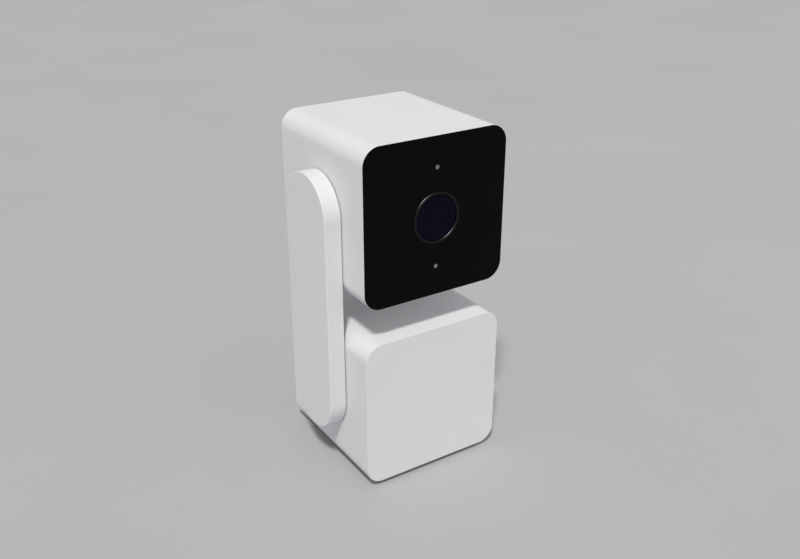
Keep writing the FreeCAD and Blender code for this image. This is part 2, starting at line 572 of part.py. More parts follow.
def make_arm():
    """The arm: a hollow outer cover, the plate that closes it, and the screws that hold it and the axle."""
    face = f"(-{HALF} - ArmGap)"
    outer = f"({face} - ArmThick)"
    plate_low = f"({face} - ArmPlateThick)"
    cover = new_body("arm_cover")
    slab = pad(cover, "x", outer, face, pill("ArmRadius"))
    doc.recompute()
    rim = [f"Edge{number}" for number, edge in enumerate(cover.Shape.Edges, start=1)
           if abs(edge.BoundBox.XMax - value(outer)) < 1e-6]
    soft_edge = cover.newObject("PartDesign::Fillet", "SoftEdge")
    soft_edge.Base = (slab, rim)
    bind(soft_edge, Radius="ArmEdge")
    pocket(cover, "x", f"{outer} + ArmWall", face, pill("ArmRadius - ArmWall"))
    plate = new_body("arm_plate")
    pad(plate, "x", plate_low, face, pill("ArmPlateRadius"))
    spots = arm_spots(LOWER)
    pad(plate, "x", face, f"-{HALF}", (circle, "0", LOWER, "ArmPlateRadius - 1"))
    pad(plate, "x", f"{plate_low} - 2.6", plate_low, *[(circle, u, v, "ArmBossRadius") for u, v in spots])
    pocket(plate, "x", f"{plate_low} - 2.2", f"-{HALF}", *[(circle, u, v, "ScrewRadius") for u, v in spots])
    pocket(plate, "x", f"{plate_low} - 1", f"-{HALF}", (circle, "0", LOWER, "HarnessHole"))
    pocket(plate, "x", f"{plate_low} - 1", face, (circle, "0", HEAD, "AxleRadius"),
           *[(circle, u, v, "ScrewRadius") for u, v in axle_spots()])
    inner_screws.extend(screws("x", f"{plate_low} - 2", f"-{INSIDE}", spots)
                        + screws("x", f"{face} - 0.2", f"{plate_low} - AxleFlangeThick", axle_spots()))


def axle_spots():
    """Three screw places round the axle's flange."""
    return [(f"AxleScrews * cos({turn})", f"{HEAD} + AxleScrews * sin({turn})") for turn in (90, 210, 330)]


def make_tilt_joint():
    """The hollow axle fixed to the arm, its fixed gear and retainer, and the head's bush that turns on it."""
    face = f"(-{HALF} - ArmGap)"
    plate_low = f"({face} - ArmPlateThick)"
    flange_low = f"({plate_low} - AxleFlangeThick)"
    axle = turned("tilt_axle", "x", [
        ("AxleBore", flange_low), ("AxleFlange", flange_low), ("AxleFlange", plate_low),
        ("AxleRadius", plate_low), ("AxleRadius", "-AxleReach"), ("AxleBore", "-AxleReach")])
    raise_to(axle, HEAD)
    pocket(axle, "x", f"{flange_low} - 1", plate_low,
           *[(circle, u, f"{v} - {HEAD}", "ScrewHole") for u, v in axle_spots()])
    bush = turned("tilt_bush", "x", [
        ("AxleRadius + RunGap", f"-{HALF}"), ("TiltBushRadius", f"-{HALF}"), ("TiltBushRadius", f"-{INSIDE}"),
        ("TiltBushFlange", f"-{INSIDE}"), ("TiltBushFlange", f"-{INSIDE} + 1"),
        ("TiltBushRadius", f"-{INSIDE} + 1"), ("TiltBushRadius", "-TiltBushEnd"),
        ("AxleRadius + RunGap", "-TiltBushEnd")])
    raise_to(bush, HEAD)
    gear = wheel("tilt_gear", "AxleRadius")
    gear.Placement = FreeCAD.Placement(FreeCAD.Vector(), FreeCAD.Rotation(FreeCAD.Vector(0, 1, 0), 90))
    bind(gear, Base_x="-TiltGearEnd - GearThick", Base_z=HEAD)
    ring = turned("tilt_retainer", "x", [
        ("AxleRadius", "-TiltGearEnd"), ("TiltBushRadius", "-TiltGearEnd"),
        ("TiltBushRadius", "-TiltGearEnd + 1"), ("AxleRadius", "-TiltGearEnd + 1")])
    raise_to(ring, HEAD)


def make_tilt_drive():
    """The tilt motor behind the axle, its bracket on the head's wall, and its pinion."""
    face = "-TiltMotorFace"
    along_x = FreeCAD.Rotation(FreeCAD.Vector(0, 1, 0), 90)
    half_turn = FreeCAD.Rotation(FreeCAD.Vector(0, 0, 1), 180)
    can = motor("tilt_motor", Base_x=face, Base_y="GearSpace", Base_z=HEAD)
    can.Placement = FreeCAD.Placement(FreeCAD.Vector(), along_x * half_turn)
    ears = [("GearSpace", f"{HEAD} - EarSpan"), ("GearSpace", f"{HEAD} + EarSpan")]
    bracket = new_body("tilt_motor_bracket")
    pad(bracket, "x", f"{face} - PlateThick", face,
        (oblong, "TiltBracketFront", "TiltBracketBack", f"{HEAD} - TiltBracketHalf",
         f"{HEAD} + TiltBracketHalf"))
    outer, inner = "TiltBracketHalf", "(TiltBracketHalf - PlateThick)"
    pad(bracket, "x", f"-{INSIDE}", f"{face} - 0.5",
        (oblong, "TiltLegFront", "TiltLegBack", f"{HEAD} - {outer}", f"{HEAD} - {inner}"),
        (oblong, "TiltLegFront", "TiltLegBack", f"{HEAD} + {inner}", f"{HEAD} + {outer}"))
    reach, root = "TiltFootReach", "(TiltBracketHalf - 1)"
    pad(bracket, "x", f"-{INSIDE}", f"-{INSIDE} + PlateThick",
        (oblong, "TiltLegFront", "TiltLegBack", f"{HEAD} - {reach}", f"{HEAD} - {root}"),
        (oblong, "TiltLegFront", "TiltLegBack", f"{HEAD} + {root}", f"{HEAD} + {reach}"))
    pocket(bracket, "x", f"{face} - PlateThick - 1", face, (circle, "GearSpace", HEAD, "NoseRadius"),
           *[(circle, u, v, "ScrewRadius") for u, v in ears])
    motor_screws = screws("x", f"{face} - PlateThick", f"{face} + EarThick", ears)
    keep_group("head_screws", rear_screws(HEAD) + motor_screws)
    drive = pinion("tilt_pinion", 90, 0.8, 8.0)
    drive.Placement = FreeCAD.Placement(FreeCAD.Vector(), along_x)
    bind(drive, Base_x="-TiltGearEnd - GearThick", Base_y="GearSpace", Base_z=HEAD)


# ---- Wiring, held inside the arm and head all the way ----

def bend(start, corner, end, radius):
    """The straight run up to a corner and the arc round it, and where the arc ends."""
    before, after = (corner - start).normalize(), (end - corner).normalize()
    turn_start, turn_end = corner - before * radius, corner + after * radius
    middle = corner + (after - before) * (radius * (1 - math.sqrt(0.5)))
    run = Part.LineSegment(start, turn_start).toShape()
    return [run, Part.Arc(turn_start, middle, turn_end).toShape()], turn_end


def make_harness():
    """The wires from the main board through the arm to the axle, and on from there to the head's board."""
    line, low, high = -value("HarnessLine"), value(LOWER), value(HEAD)
    start = -value("HarnessStart")
    board = FreeCAD.Vector(start, value("MainBoardFront"), low)
    turns = [FreeCAD.Vector(start, 0, low), FreeCAD.Vector(line, 0, low), FreeCAD.Vector(line, 0, high)]
    finish = FreeCAD.Vector(-value("AxleReach"), 0, high)
    edges, here = [], board
    for corner, after in zip(turns, turns[1:] + [finish]):
        pieces, here = bend(here, corner, after, value("HarnessBend"))
        edges += pieces
    edges.append(Part.LineSegment(here, finish).toShape())
    ring = Part.Wire(Part.makeCircle(value("HarnessRadius"), board, FreeCAD.Vector(0, 1, 0)))
    wires = doc.addObject("Part::Feature", "Harness")
    wires.Shape = Part.Wire(edges).makePipeShell([ring], True, False)
    length = Part.Wire(edges).Length
    if abs(wires.Shape.Volume / (math.pi * value("HarnessRadius") ** 2 * length) - 1) > 0.01:
        raise RuntimeError("the harness has lost part of its volume")
    keep(wires, "arm_harness")
    keep(rod("x", "-AxleReach + 0.4", "HeadBoardLeft", "0", HEAD, "HarnessRadius"), "head_harness")


# ---- Face, lens and camera module ----

def make_face():
    """The black face plate and its seal, the lens ring and glass, and the two small windows."""
    front = f"(-{HALF})"
    plate = new_body("face_plate")
    inner = f"({INSIDE} - Slack - SealThick)"
    pad(plate, "y", front, f"{front} + FaceThick", (rounded, HALF, "CornerRadius", HEAD))
    pad(plate, "y", f"{front} + FaceThick", f"{front} + FaceDeep",
        (rounded, f"({INSIDE} - Slack / 2)", "(CornerRadius - Wall - 0.05)", HEAD))
    pad(plate, "y", f"{front} + FaceDeep", f"{front} + FaceDeep + FaceLip",
        (rounded, inner, "(CornerRadius - Wall - 1)", HEAD),
        (rounded, f"({inner} - LipThick)", "(CornerRadius - Wall - 2)", HEAD))
    pocket(plate, "y", front, f"{front} + FaceDeep", (circle, "0", HEAD, "RingRadius"),
           (circle, "0", f"{HEAD} + DotUp", "DotRadius"), (circle, "0", f"{HEAD} - DotUp", "DotRadius"))
    seal = new_body("face_seal")
    pad(seal, "y", f"{front} + FaceDeep", f"{front} + FaceDeep + 1",
        (rounded, f"({INSIDE} - Slack / 2)", "(CornerRadius - Wall - 0.1)", HEAD),
        (rounded, f"({INSIDE} - SealThick)", "(CornerRadius - Wall - 0.9)", HEAD))
    ring_front = f"({front} - RingProud)"
    ring = turned("lens_ring", "y", [
        ("RingInner", f"{ring_front} + 0.2"), ("RingInner + 0.2", ring_front),
        ("RingRadius - 0.2", ring_front), ("RingRadius", f"{ring_front} + 0.2"),
        ("RingRadius", f"{ring_front} + RingDeep"),
        ("RingInner - RingSeat", f"{ring_front} + RingDeep"),
        ("RingInner - RingSeat", f"{front} + GlassSink + GlassThick"),
        ("RingInner", f"{front} + GlassSink + GlassThick")])
    glass = turned("lens_glass", "y", [
        ("0", f"{front} + GlassSink"), ("RingInner", f"{front} + GlassSink"),
        ("RingInner", f"{front} + GlassSink + GlassThick"), ("0", f"{front} + GlassSink + GlassThick")])
    raise_to(ring, HEAD)
    raise_to(glass, HEAD)
    for label, side in (("light_sensor_window", "+"), ("status_light_pipe", "-")):
        keep(rod("y", front, "-LedBoardFront", "0", f"{HEAD} {side} DotUp", "DotRadius"), label)


def make_lens():
    """The hood behind the glass, the lens barrel with its front glass, and its holder on the sensor board."""
    ring_back = f"(-{HALF} - RingProud + RingDeep)"
    raise_to(turned("lens_hood", "y", [
        ("RingInner - 1", ring_back + " - 1"), ("RingInner - 0.7", ring_back + " - 1"),
        ("RingInner - 0.7", ring_back), ("BarrelHead + 1", f"{ring_back} + HoodLong"),
        ("BarrelHead + 0.2", f"{ring_back} + HoodLong")]), HEAD)
    raise_to(turned("lens_barrel", "y", [
        ("BarrelMouth", "-BarrelFront"), ("BarrelHead", "-BarrelFront"), ("BarrelHead", "-BarrelStep"),
        ("BarrelRadius", "-BarrelStep"), ("BarrelRadius", "-BarrelBack"), ("BarrelBore", "-BarrelBack"),
        ("BarrelBore", "-BarrelStep - BarrelSeat"), ("BarrelMouth", "-BarrelStep - BarrelSeat")]), HEAD)
    raise_to(turned("lens_front_element", "y", [
        ("0", "-BarrelFront + 0.4"), ("BarrelMouth", "-BarrelFront + 1.3"),
        ("BarrelMouth", "-BarrelStep - BarrelSeat"), ("0", "-BarrelStep - BarrelSeat")]), HEAD)
    holder = new_body("lens_holder")
    pad(holder, "y", "-HolderFront", "-HolderBack",
        (oblong, "-HolderWide", "HolderWide", f"{HEAD} - HolderHalf", f"{HEAD} + HolderHalf"))
    pocket(holder, "y", "-HolderFront", "-SlotBack", (circle, "0", HEAD, "BarrelRadius"))
    pocket(holder, "y", "-SlotBack - 0.2", "-HolderBack",
           (oblong, "-SensorSide / 2 - 0.5", "SensorSide / 2 + 0.5", f"{HEAD} - SensorSide / 2 - 0.5",
            f"{HEAD} + SensorSide / 2 + 0.5"))
    pocket(holder, "x", "-HolderWide - 1", "HolderWide + 1",
           (oblong, "-SlotFront", "-SlotBack", f"{HEAD} - SlotHalf", f"{HEAD} + SlotHalf"))


def make_filter():
    """The sliding frame with the infrared-cut glass and the clear glass, behind the lens."""
    middle = "(-SlotFront / 2 - SlotBack / 2)"
    low, high = f"{middle} - FilterThick / 2", f"{middle} + FilterThick / 2"
    frame = new_body("ir_filter_frame")
    left, right = "-FilterShift - FilterGlass / 2", "-FilterGlass / 2"
    windows = [(oblong, left, "-FilterShift + FilterGlass / 2", f"{HEAD} - FilterGlass / 2",
                f"{HEAD} + FilterGlass / 2"),
               (oblong, right, "FilterGlass / 2", f"{HEAD} - FilterGlass / 2", f"{HEAD} + FilterGlass / 2")]
    pad(frame, "y", low, high,
        (oblong, "-FilterShift / 2 - FilterSide / 2", "-FilterShift / 2 + FilterSide / 2",
         f"{HEAD} - FilterTall / 2", f"{HEAD} + FilterTall / 2"))
    pocket(frame, "y", low, high, *windows)
    upright = (f"{HEAD} - FilterGlass / 2", f"{HEAD} + FilterGlass / 2")
    panes = [brick((f"{offset} - FilterGlass / 2", f"{offset} + FilterGlass / 2"), (low, high), upright)
             for offset in ("-FilterShift", "0")]
    keep(fuse(*panes), "ir_filter_glass")


def make_camera_boards():
    """The sensor with its board, and the board behind the face with its infrared lamps."""
    sensor_front = "-HolderBack"
    keep(brick(("-SensorSide / 2", "SensorSide / 2"), (f"{sensor_front} - SensorThick", sensor_front),
               (f"{HEAD} - SensorSide / 2", f"{HEAD} + SensorSide / 2")), "image_sensor")
    board = new_body("sensor_board")
    pad(board, "y", sensor_front, f"{sensor_front} + BoardThick",
        (rounded, "(SensorBoardSide / 2)", "2", HEAD))
    lamps = new_body("led_board")
    pad(lamps, "y", "-LedBoardFront", "-LedBoardFront + BoardThick",
        (rounded, "(LedBoardSide / 2)", "3", HEAD))
    pocket(lamps, "y", "-LedBoardFront - 1", "-LedBoardFront + BoardThick",
           (circle, "0", HEAD, "RingRadius + 0.3"))
    domes = [rod("y", "-LedBoardFront - LedTall", "-LedBoardFront", u, v, "LedRadius")
             for u, v in corners("LedAcross", "LedUp", HEAD)]
    keep(fuse(*domes), "infrared_leds")


def make_head_board():
    """The head's upright board, its chips and heat sink, the card socket and the antenna."""
    left, right = "HeadBoardLeft", "HeadBoardLeft + BoardThick"
    board = new_body("head_board")
    pad(board, "x", left, right,
        (oblong, "-HeadBoardFront", "HeadBoardBack", f"{HEAD} - HeadBoardHalf", f"{HEAD} + HeadBoardHalf"))
    chips = [brick((f"{left} - ChipThick", left), (low, high), (f"{HEAD} + {bottom}", f"{HEAD} + {top}"))
             for low, high, bottom, top in HEAD_CHIPS]
    keep(fuse(*chips), "head_chips")
    upright = (f"{HEAD} - SinkLow", f"{HEAD} + SinkHigh")
    base = brick((right, f"{right} + SinkBase"), ("-SinkFront", "SinkBack"), upright)
    starts = [f"{step} * FinPitch - SinkFront" for step in range(FIN_COUNT)]
    fins = [brick((f"{right} + SinkBase / 2", f"{right} + SinkThick"), (start, f"{start} + FinWide"), upright)
            for start in starts]
    keep(fuse(base, *fins), "heat_sink")
    low = f"{HEAD} - {INSIDE} + 0.3"
    socket = brick((f"{left} - CardThick", left), ("-CardWide / 2", "CardWide / 2"),
                   (low, f"{low} + CardLong"))
    mouth = brick((f"{left} - CardThick + 0.3", f"{left} - 0.3"),
                  ("-CardWide / 2 + 0.6", "CardWide / 2 - 0.6"), (f"{low} - 1", f"{low} + CardLong - 1"))
    keep(cut(socket, mouth), "card_socket")
    keep(brick(("-AntennaHalf", "AntennaHalf"), ("-AntennaFront", "AntennaBack"),
               (f"{HEAD} + {INSIDE} - AntennaThick", f"{HEAD} + {INSIDE}")), "antenna")


def make_card_door():
    """The rubber flap over the card slot, which swings on the bead along its right edge."""
    under = f"({HEAD} - {HALF})"
    pivot = f"({under} + DoorDepth)"
    door = new_body("card_door")
    pad(door, "y", "-DoorHalf", "DoorHalf", (circle, "DoorHinge", pivot, "DoorBead"))
    pad(door, "y", "-DoorHalf", "DoorHalf",
        (oblong, "DoorHinge - DoorLong", "DoorHinge", under, f"{under} + DoorThick - 0.1"))


# ---- Electronics and controls of the lower cube ----

def make_main_board():
    """The main board and its chips, the port, and the switch behind the setup button."""
    front, back = "MainBoardFront", "MainBoardFront + BoardThick"
    board = new_body("main_board")
    pad(board, "y", front, back,
        (oblong, "-MainBoardHalf", "MainBoardHalf", f"{LOWER} - MainBoardLow", f"{LOWER} + MainBoardHigh"))
    deep = (f"{front} - ChipThick", front)
    chips = [brick((left, right), deep, (f"{LOWER} + {bottom}", f"{LOWER} + {top}"))
             for left, right, bottom, top in MAIN_CHIPS]
    keep(fuse(*chips), "board_chips")
    low = f"{LOWER} - UsbDrop"
    reach = "(UsbWide / 2 - UsbTall / 2)"
    port = new_body("usb_inlet")
    ends = [(f"-{reach}", low), (reach, low)]
    pad(port, "y", back, f"{HALF} - UsbSink", (belt, ends, "UsbTall / 2"))
    pocket(port, "y", f"{back} + UsbBack", HALF, (belt, ends, "UsbTall / 2 - UsbWall"))
    pad(port, "y", f"{back} + UsbBack / 2", f"{HALF} - UsbSink - 1",
        (oblong, "TongueInset - UsbWide / 2", "UsbWide / 2 - TongueInset", f"{low} - TongueHalf",
         f"{low} + TongueHalf"))
    side = "SwitchSide / 2"
    case = brick((f"ButtonAcross - {side}", f"ButtonAcross + {side}"), (back, f"{back} + SwitchTall"),
                 (f"{low} - {side}", f"{low} + {side}"))
    plunger = rod("y", f"{back} + SwitchTall", f"{HALF} - ButtonDeep - 0.6", "ButtonAcross", low,
                  "PlungerRadius")
    keep(fuse(case, plunger), "button_switch")


def make_button():
    """The setup button in the rear cover, held by a flange inside it."""
    low = f"{LOWER} - UsbDrop"
    button = turned("setup_button", "y", [
        ("0", f"{HALF} - ButtonDeep"), ("ButtonFlange", f"{HALF} - ButtonDeep"),
        ("ButtonFlange", f"{HALF} - ButtonDeep + ButtonFlangeThick"),
        ("ButtonRadius", f"{HALF} - ButtonDeep + ButtonFlangeThick"), ("ButtonRadius", HALF), ("0", HALF)])
    bind(button, Base_x="ButtonAcross", Base_z=low)


def make_sound():
    """The speaker behind its grille, and the microphone behind its pinhole."""
    up = f"{LOWER} + SpeakerUp"
    back = INSIDE
    speaker = turned("speaker", "y", [
        ("0", f"{back} - SpeakerDeep"), ("MagnetRadius", f"{back} - SpeakerDeep"),
        ("MagnetRadius", f"{back} - 2"), ("SpeakerRadius", f"{back} - 2"), ("SpeakerRadius", back),
        ("SpeakerRadius - 1.4", back), ("MagnetRadius", f"{back} - 0.9"), ("ConeInner", f"{back} - 1.4"),
        ("0", f"{back} - 0.5")])
    raise_to(speaker, up)
    keep(rod("y", f"{INSIDE} - MicThick", INSIDE, "-ButtonAcross", f"{LOWER} - UsbDrop", "MicRadius"),
         "microphone")


make_foot()
make_body_shell()
make_body_rear()
make_pan_carrier()
make_pan_drive()
make_arm()
make_tilt_joint()
make_main_board()
make_button()
make_sound()
make_head_shell()
make_head_rear()
make_face()
make_lens()
make_filter()
make_camera_boards()
make_head_board()
make_card_door()
make_tilt_drive()
make_harness()
keep_group("inner_screws", inner_screws)
doc.recompute()

for item in doc.Objects:
    if "Invalid" in item.State or "Error" in item.State:
        raise RuntimeError(f"{item.Label} failed: {item.State}")
for part in parts:
    if part.Shape.isNull() or not part.Shape.isValid():
        raise RuntimeError(f"{part.Label} has no valid shape")
os.makedirs("parts", exist_ok=True)
for part in parts:
    part.Shape.exportStep(f"parts/{part.Label}.step")
print(f"{len(parts)} parts")
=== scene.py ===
import json
import math

import bmesh
import bpy
from mathutils import Matrix, Vector


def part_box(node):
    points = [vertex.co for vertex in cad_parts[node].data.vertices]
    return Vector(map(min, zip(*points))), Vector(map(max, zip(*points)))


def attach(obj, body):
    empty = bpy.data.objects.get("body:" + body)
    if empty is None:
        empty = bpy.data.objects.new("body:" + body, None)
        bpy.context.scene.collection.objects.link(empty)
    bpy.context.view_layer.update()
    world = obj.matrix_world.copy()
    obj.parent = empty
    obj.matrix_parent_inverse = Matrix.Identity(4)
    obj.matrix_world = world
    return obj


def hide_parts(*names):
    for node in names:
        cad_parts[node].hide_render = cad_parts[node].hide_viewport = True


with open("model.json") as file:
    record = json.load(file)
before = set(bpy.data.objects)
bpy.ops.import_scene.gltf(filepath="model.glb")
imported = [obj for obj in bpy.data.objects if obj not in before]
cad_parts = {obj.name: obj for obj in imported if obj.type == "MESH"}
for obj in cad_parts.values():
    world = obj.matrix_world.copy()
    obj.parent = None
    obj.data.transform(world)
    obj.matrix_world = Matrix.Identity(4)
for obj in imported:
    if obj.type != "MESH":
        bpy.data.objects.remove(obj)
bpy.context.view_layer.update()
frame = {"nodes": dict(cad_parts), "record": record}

MM = 0.001

# ---- Sizes, in metres, read from the frame or chosen for the look ----

LOWER_LOW, LOWER_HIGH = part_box("body_shell")
HEAD_LOW, HEAD_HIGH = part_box("head_shell")
ARM_LOW, ARM_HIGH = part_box("arm_cover")
HALF = (LOWER_HIGH.x - LOWER_LOW.x) / 2
LOWER_MID = (LOWER_LOW.z + LOWER_HIGH.z) / 2
HEAD_MID = (HEAD_LOW.z + HEAD_HIGH.z) / 2
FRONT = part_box("face_plate")[0].y
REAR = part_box("body_rear_cover")[1].y
CORNER = 6.5 * MM          # the housings' corner radius, seen from the front
WALL = 2.0 * MM
SEAM_EDGE = 0.16 * MM      # rounding at the housings' moulded edges
INSIDE = HALF - WALL
COVER_FRONT = LOWER_HIGH.y # where the shells end and the rear covers start
LIP_DEPTH = 1.3 * MM
LIP_INSET = 1.0 * MM
ARM_EDGE = 0.45 * MM
SCREW_ACROSS = 24.6 * MM    # from a rear cover's middle to its screws
SCREW_UP = 22 * MM
RING_BAND = 1.1 * MM       # the lens ring's width, seen from the front
CORNER_STEPS = 24
RING_STEPS = 96

WHITE = (0.80, 0.80, 0.81)


# ---- Meshes ----

def link(name, mesh):
    """A new object for a mesh, in the scene."""
    piece = bpy.data.objects.new(name, mesh)
    bpy.context.scene.collection.objects.link(piece)
    return piece


def loft(name, rings, closed=False):
    """A solid through rings of equal counts of points, capped at its ends unless it closes on itself."""
    build = bmesh.new()
    rows = [[build.verts.new(point) for point in ring] for ring in rings]
    pairs = list(zip(rows, rows[1:]))
    if closed:
        pairs.append((rows[-1], rows[0]))
    for near, far in pairs:
        for index, vertex in enumerate(near):
            after = (index + 1) % len(near)
            build.faces.new((vertex, near[after], far[after], far[index]))
    if not closed:
        build.faces.new(list(reversed(rows[0])))
        build.faces.new(rows[-1])
    bmesh.ops.recalc_face_normals(build, faces=build.faces)
    mesh = bpy.data.meshes.new(name)
    build.to_mesh(mesh)
    build.free()
    return link(name, mesh)


def rounded_square(half_u, radius, half_v=None, steps=CORNER_STEPS):
    """Points u, v of a rounded square or oblong about 0, anticlockwise."""
    half_v = half_u if half_v is None else half_v
    points = []
    for quarter, (side_u, side_v) in enumerate(((1, 1), (-1, 1), (-1, -1), (1, -1))):
        for step in range(steps + 1):
            turn = (quarter + step / steps) * math.pi / 2
            points.append((side_u * (half_u - radius) + radius * math.cos(turn),
                           side_v * (half_v - radius) + radius * math.sin(turn)))
    return points


def pill(radius, reach, steps=CORNER_STEPS * 2):
    """Points u, v of a pill whose end circles stand at v = 0 and v = reach, anticlockwise."""
    points = []
    for end, start in ((0, math.pi), (reach, 0)):
        for step in range(steps + 1):
            turn = start + math.pi * step / steps
            points.append((radius * math.cos(turn), end + radius * math.sin(turn)))
    return points


def circle(radius, steps=RING_STEPS):
    """Points u, v of a circle about 0."""
    return [(radius * math.cos(2 * math.pi * step / steps), radius * math.sin(2 * math.pi * step / steps))
            for step in range(steps)]


def along(axis, outline, level, centre=(0, 0, 0)):
    """A ring of points: an outline square to an axis, at a level along it, about a centre."""
    x, y, z = centre
    if axis == "x":
        return [Vector((level, y + u, z + v)) for u, v in outline]
    if axis == "y":
        return [Vector((x + u, level, z + v)) for u, v in outline]
    return [Vector((x + u, y + v, level)) for u, v in outline]


def edge_round(radius, steps=4):
    """(inset, depth) pairs of a quarter round, from a face to the side next to it."""
    turns = [math.pi / 2 * step / steps for step in range(steps + 1)]
    return [(radius * (1 - math.sin(turn)), radius * (1 - math.cos(turn))) for turn in turns]


def turned(name, axis, profile, centre=(0, 0, 0), steps=RING_STEPS, closed=False):
    """A solid of revolution through (radius, level) points along an axis line through a centre."""
    rings = [along(axis, circle(radius, steps), level, centre) for radius, level in profile]
    return loft(name, rings, closed)


def bake(piece):
    """Apply the modifiers of a piece to its mesh."""
    seen = piece.evaluated_get(bpy.context.evaluated_depsgraph_get())
    mesh = bpy.data.meshes.new_from_object(seen)
    piece.modifiers.clear()
    piece.data = mesh
    return piece


def join(name, pieces):
    """One object of several loose ones, which go."""
    build = bmesh.new()
    for piece in pieces:
        build.from_mesh(piece.data)
        bpy.data.objects.remove(piece)
    mesh = bpy.data.meshes.new(name)
    build.to_mesh(mesh)
    build.free()
    return link(name, mesh)


def combine(piece, operation, others):
    """Cut others out of a piece, or add them to it, in one step. The others go."""
    tool = join("tool", others)
    change = piece.modifiers.new("change", "BOOLEAN")
    change.operation = operation
    change.solver = "EXACT"
    change.object = tool
    bake(piece)
    bpy.data.objects.remove(tool)
    return piece


def carve(piece, *cutters):
    """Cut the cutters, which don't overlap each other, out of a piece."""
    return combine(piece, "DIFFERENCE", list(cutters))


def smooth(piece, sharp_angle=38):
    """Smooth shading that keeps flat faces flat and hard edges hard."""
    mesh = piece.data
    mesh.polygons.foreach_set("use_smooth", [True] * len(mesh.polygons))
    mesh.set_sharp_from_angle(angle=math.radians(sharp_angle))
    weigh = piece.modifiers.new("weigh", "WEIGHTED_NORMAL")
    weigh.keep_sharp = True
    weigh.weight = 100
    return bake(piece)


def hole(axis, radius, low, high, centre, mouth=None, flare=0.15 * MM, steps=48):
    """A round cutter from low to high. mouth is the level of the face that it leaves a soft edge on."""
    profile = [(radius, low), (radius, high)]
    if mouth is not None:
        inward = 1 if mouth == low else -1
        over = mouth - inward * 1 * MM
        lip = [(radius + flare, over), (radius + flare, mouth),
               (radius + flare * 0.3, mouth + inward * flare * 0.3), (radius, mouth + inward * flare)]
        profile = lip + [(radius, high)] if mouth == low else [(radius, low)] + lip[::-1]
    return turned("cutter", axis, profile, centre, steps)


def block(low, high):
    """A plain cutter block between two corners."""
    outline = [(low[0], low[1]), (high[0], low[1]), (high[0], high[1]), (low[0], high[1])]
    return loft("cutter", [along("z", outline, low[2]), along("z", outline, high[2])])


# ---- Materials ----

def plain(name, color, roughness, metallic=0.0):
    """A new material with its shader's own sockets set."""
    material = bpy.data.materials.new(name)
    material.use_nodes = True
    shader = material.node_tree.nodes["Principled BSDF"]
    shader.inputs["Base Color"].default_value = (*color, 1)
    shader.inputs["Roughness"].default_value = roughness
    shader.inputs["Metallic"].default_value = metallic
    return material, material.node_tree, shader


def add(tree, kind, **settings):
    """A node with its settings. Names of inputs are set as sockets, others as properties."""
    node = tree.nodes.new(kind)
    for name, setting in settings.items():
        socket = name.replace("_", " ")
        if socket in node.inputs:
            node.inputs[socket].default_value = setting
        else:
            setattr(node, name, setting)
    return node


def noise(tree, scale, detail=3.0, roughness=0.5, stretch=(1, 1, 1)):
    """Noise in the object's own metres, with an optional stretch along each axis."""
    place = tree.nodes.new("ShaderNodeTexCoord")
    mapping = tree.nodes.new("ShaderNodeMapping")
    mapping.inputs["Scale"].default_value = stretch
    tree.links.new(place.outputs["Object"], mapping.inputs["Vector"])
    node = add(tree, "ShaderNodeTexNoise", Scale=scale, Detail=detail, Roughness=roughness)
    tree.links.new(mapping.outputs["Vector"], node.inputs["Vector"])
    return node.outputs["Fac"]


def spread(tree, source, low, high, start=0.3, end=0.7):
    """A value that runs from low to high as the source runs from start to end."""
    node = add(tree, "ShaderNodeMapRange")
    for name, setting in (("From Min", start), ("From Max", end), ("To Min", low), ("To Max", high)):
        node.inputs[name].default_value = setting
    tree.links.new(source, node.inputs["Value"])
    return node.outputs["Result"]


def tint(tree, source, dark, light):
    """A colour between two, by a value from 0 to 1."""
    ramp = tree.nodes.new("ShaderNodeValToRGB")
    ramp.color_ramp.elements[0].color = (*dark, 1)
    ramp.color_ramp.elements[1].color = (*light, 1)
    ramp.color_ramp.elements[0].position = 0.3
    ramp.color_ramp.elements[1].position = 0.7
    tree.links.new(source, ramp.inputs["Fac"])
    return ramp.outputs["Color"]


def bump(tree, shader, source, height, strength=1.0):
    """Raise the surface by a source, to a height in metres."""
    node = add(tree, "ShaderNodeBump", Strength=strength, Distance=height)
    tree.links.new(source, node.inputs["Height"])
    last = shader.inputs["Normal"].links[0].from_socket if shader.inputs["Normal"].links else None
    if last:
        tree.links.new(last, node.inputs["Normal"])
    tree.links.new(node.outputs["Normal"], shader.inputs["Normal"])


def shade(color, factor):
    """A colour made lighter or darker."""
    return tuple(channel * factor for channel in color)


def moulded(name, color, roughness=0.45, grain=0.012 * MM, grain_size=0.25 * MM, drift=0.02):
    """Moulded plastic: a spark-eroded grain, faint flow in its colour, and gloss that drifts a little."""
    material, tree, shader = plain(name, color, roughness)
    flow = noise(tree, 45, 4)
    tree.links.new(tint(tree, flow, shade(color, 1 - drift), shade(color, 1 + drift / 2)),
                   shader.inputs["Base Color"])
    patches = noise(tree, 160, 5, 0.6)
    tree.links.new(spread(tree, patches, roughness - 0.04, roughness + 0.05), shader.inputs["Roughness"])
    bump(tree, shader, noise(tree, 1 / grain_size, 2, 0.6), grain)
    return material


def gloss_black(name):
    """The face: gloss black sheet with the faintest haze of handling."""
    material, tree, shader = plain(name, (0.0022, 0.0022, 0.0024), 0.18)
    shader.inputs["Specular IOR Level"].default_value = 0.05
    haze = noise(tree, 70, 6, 0.65)
    tree.links.new(spread(tree, haze, 0.15, 0.26), shader.inputs["Roughness"])
    tree.links.new(tint(tree, noise(tree, 30, 3), (0.0019, 0.0019, 0.0021), (0.0027, 0.0027, 0.0029)),
                   shader.inputs["Base Color"])
    bump(tree, shader, noise(tree, 900, 2), 0.0008 * MM)
    return material


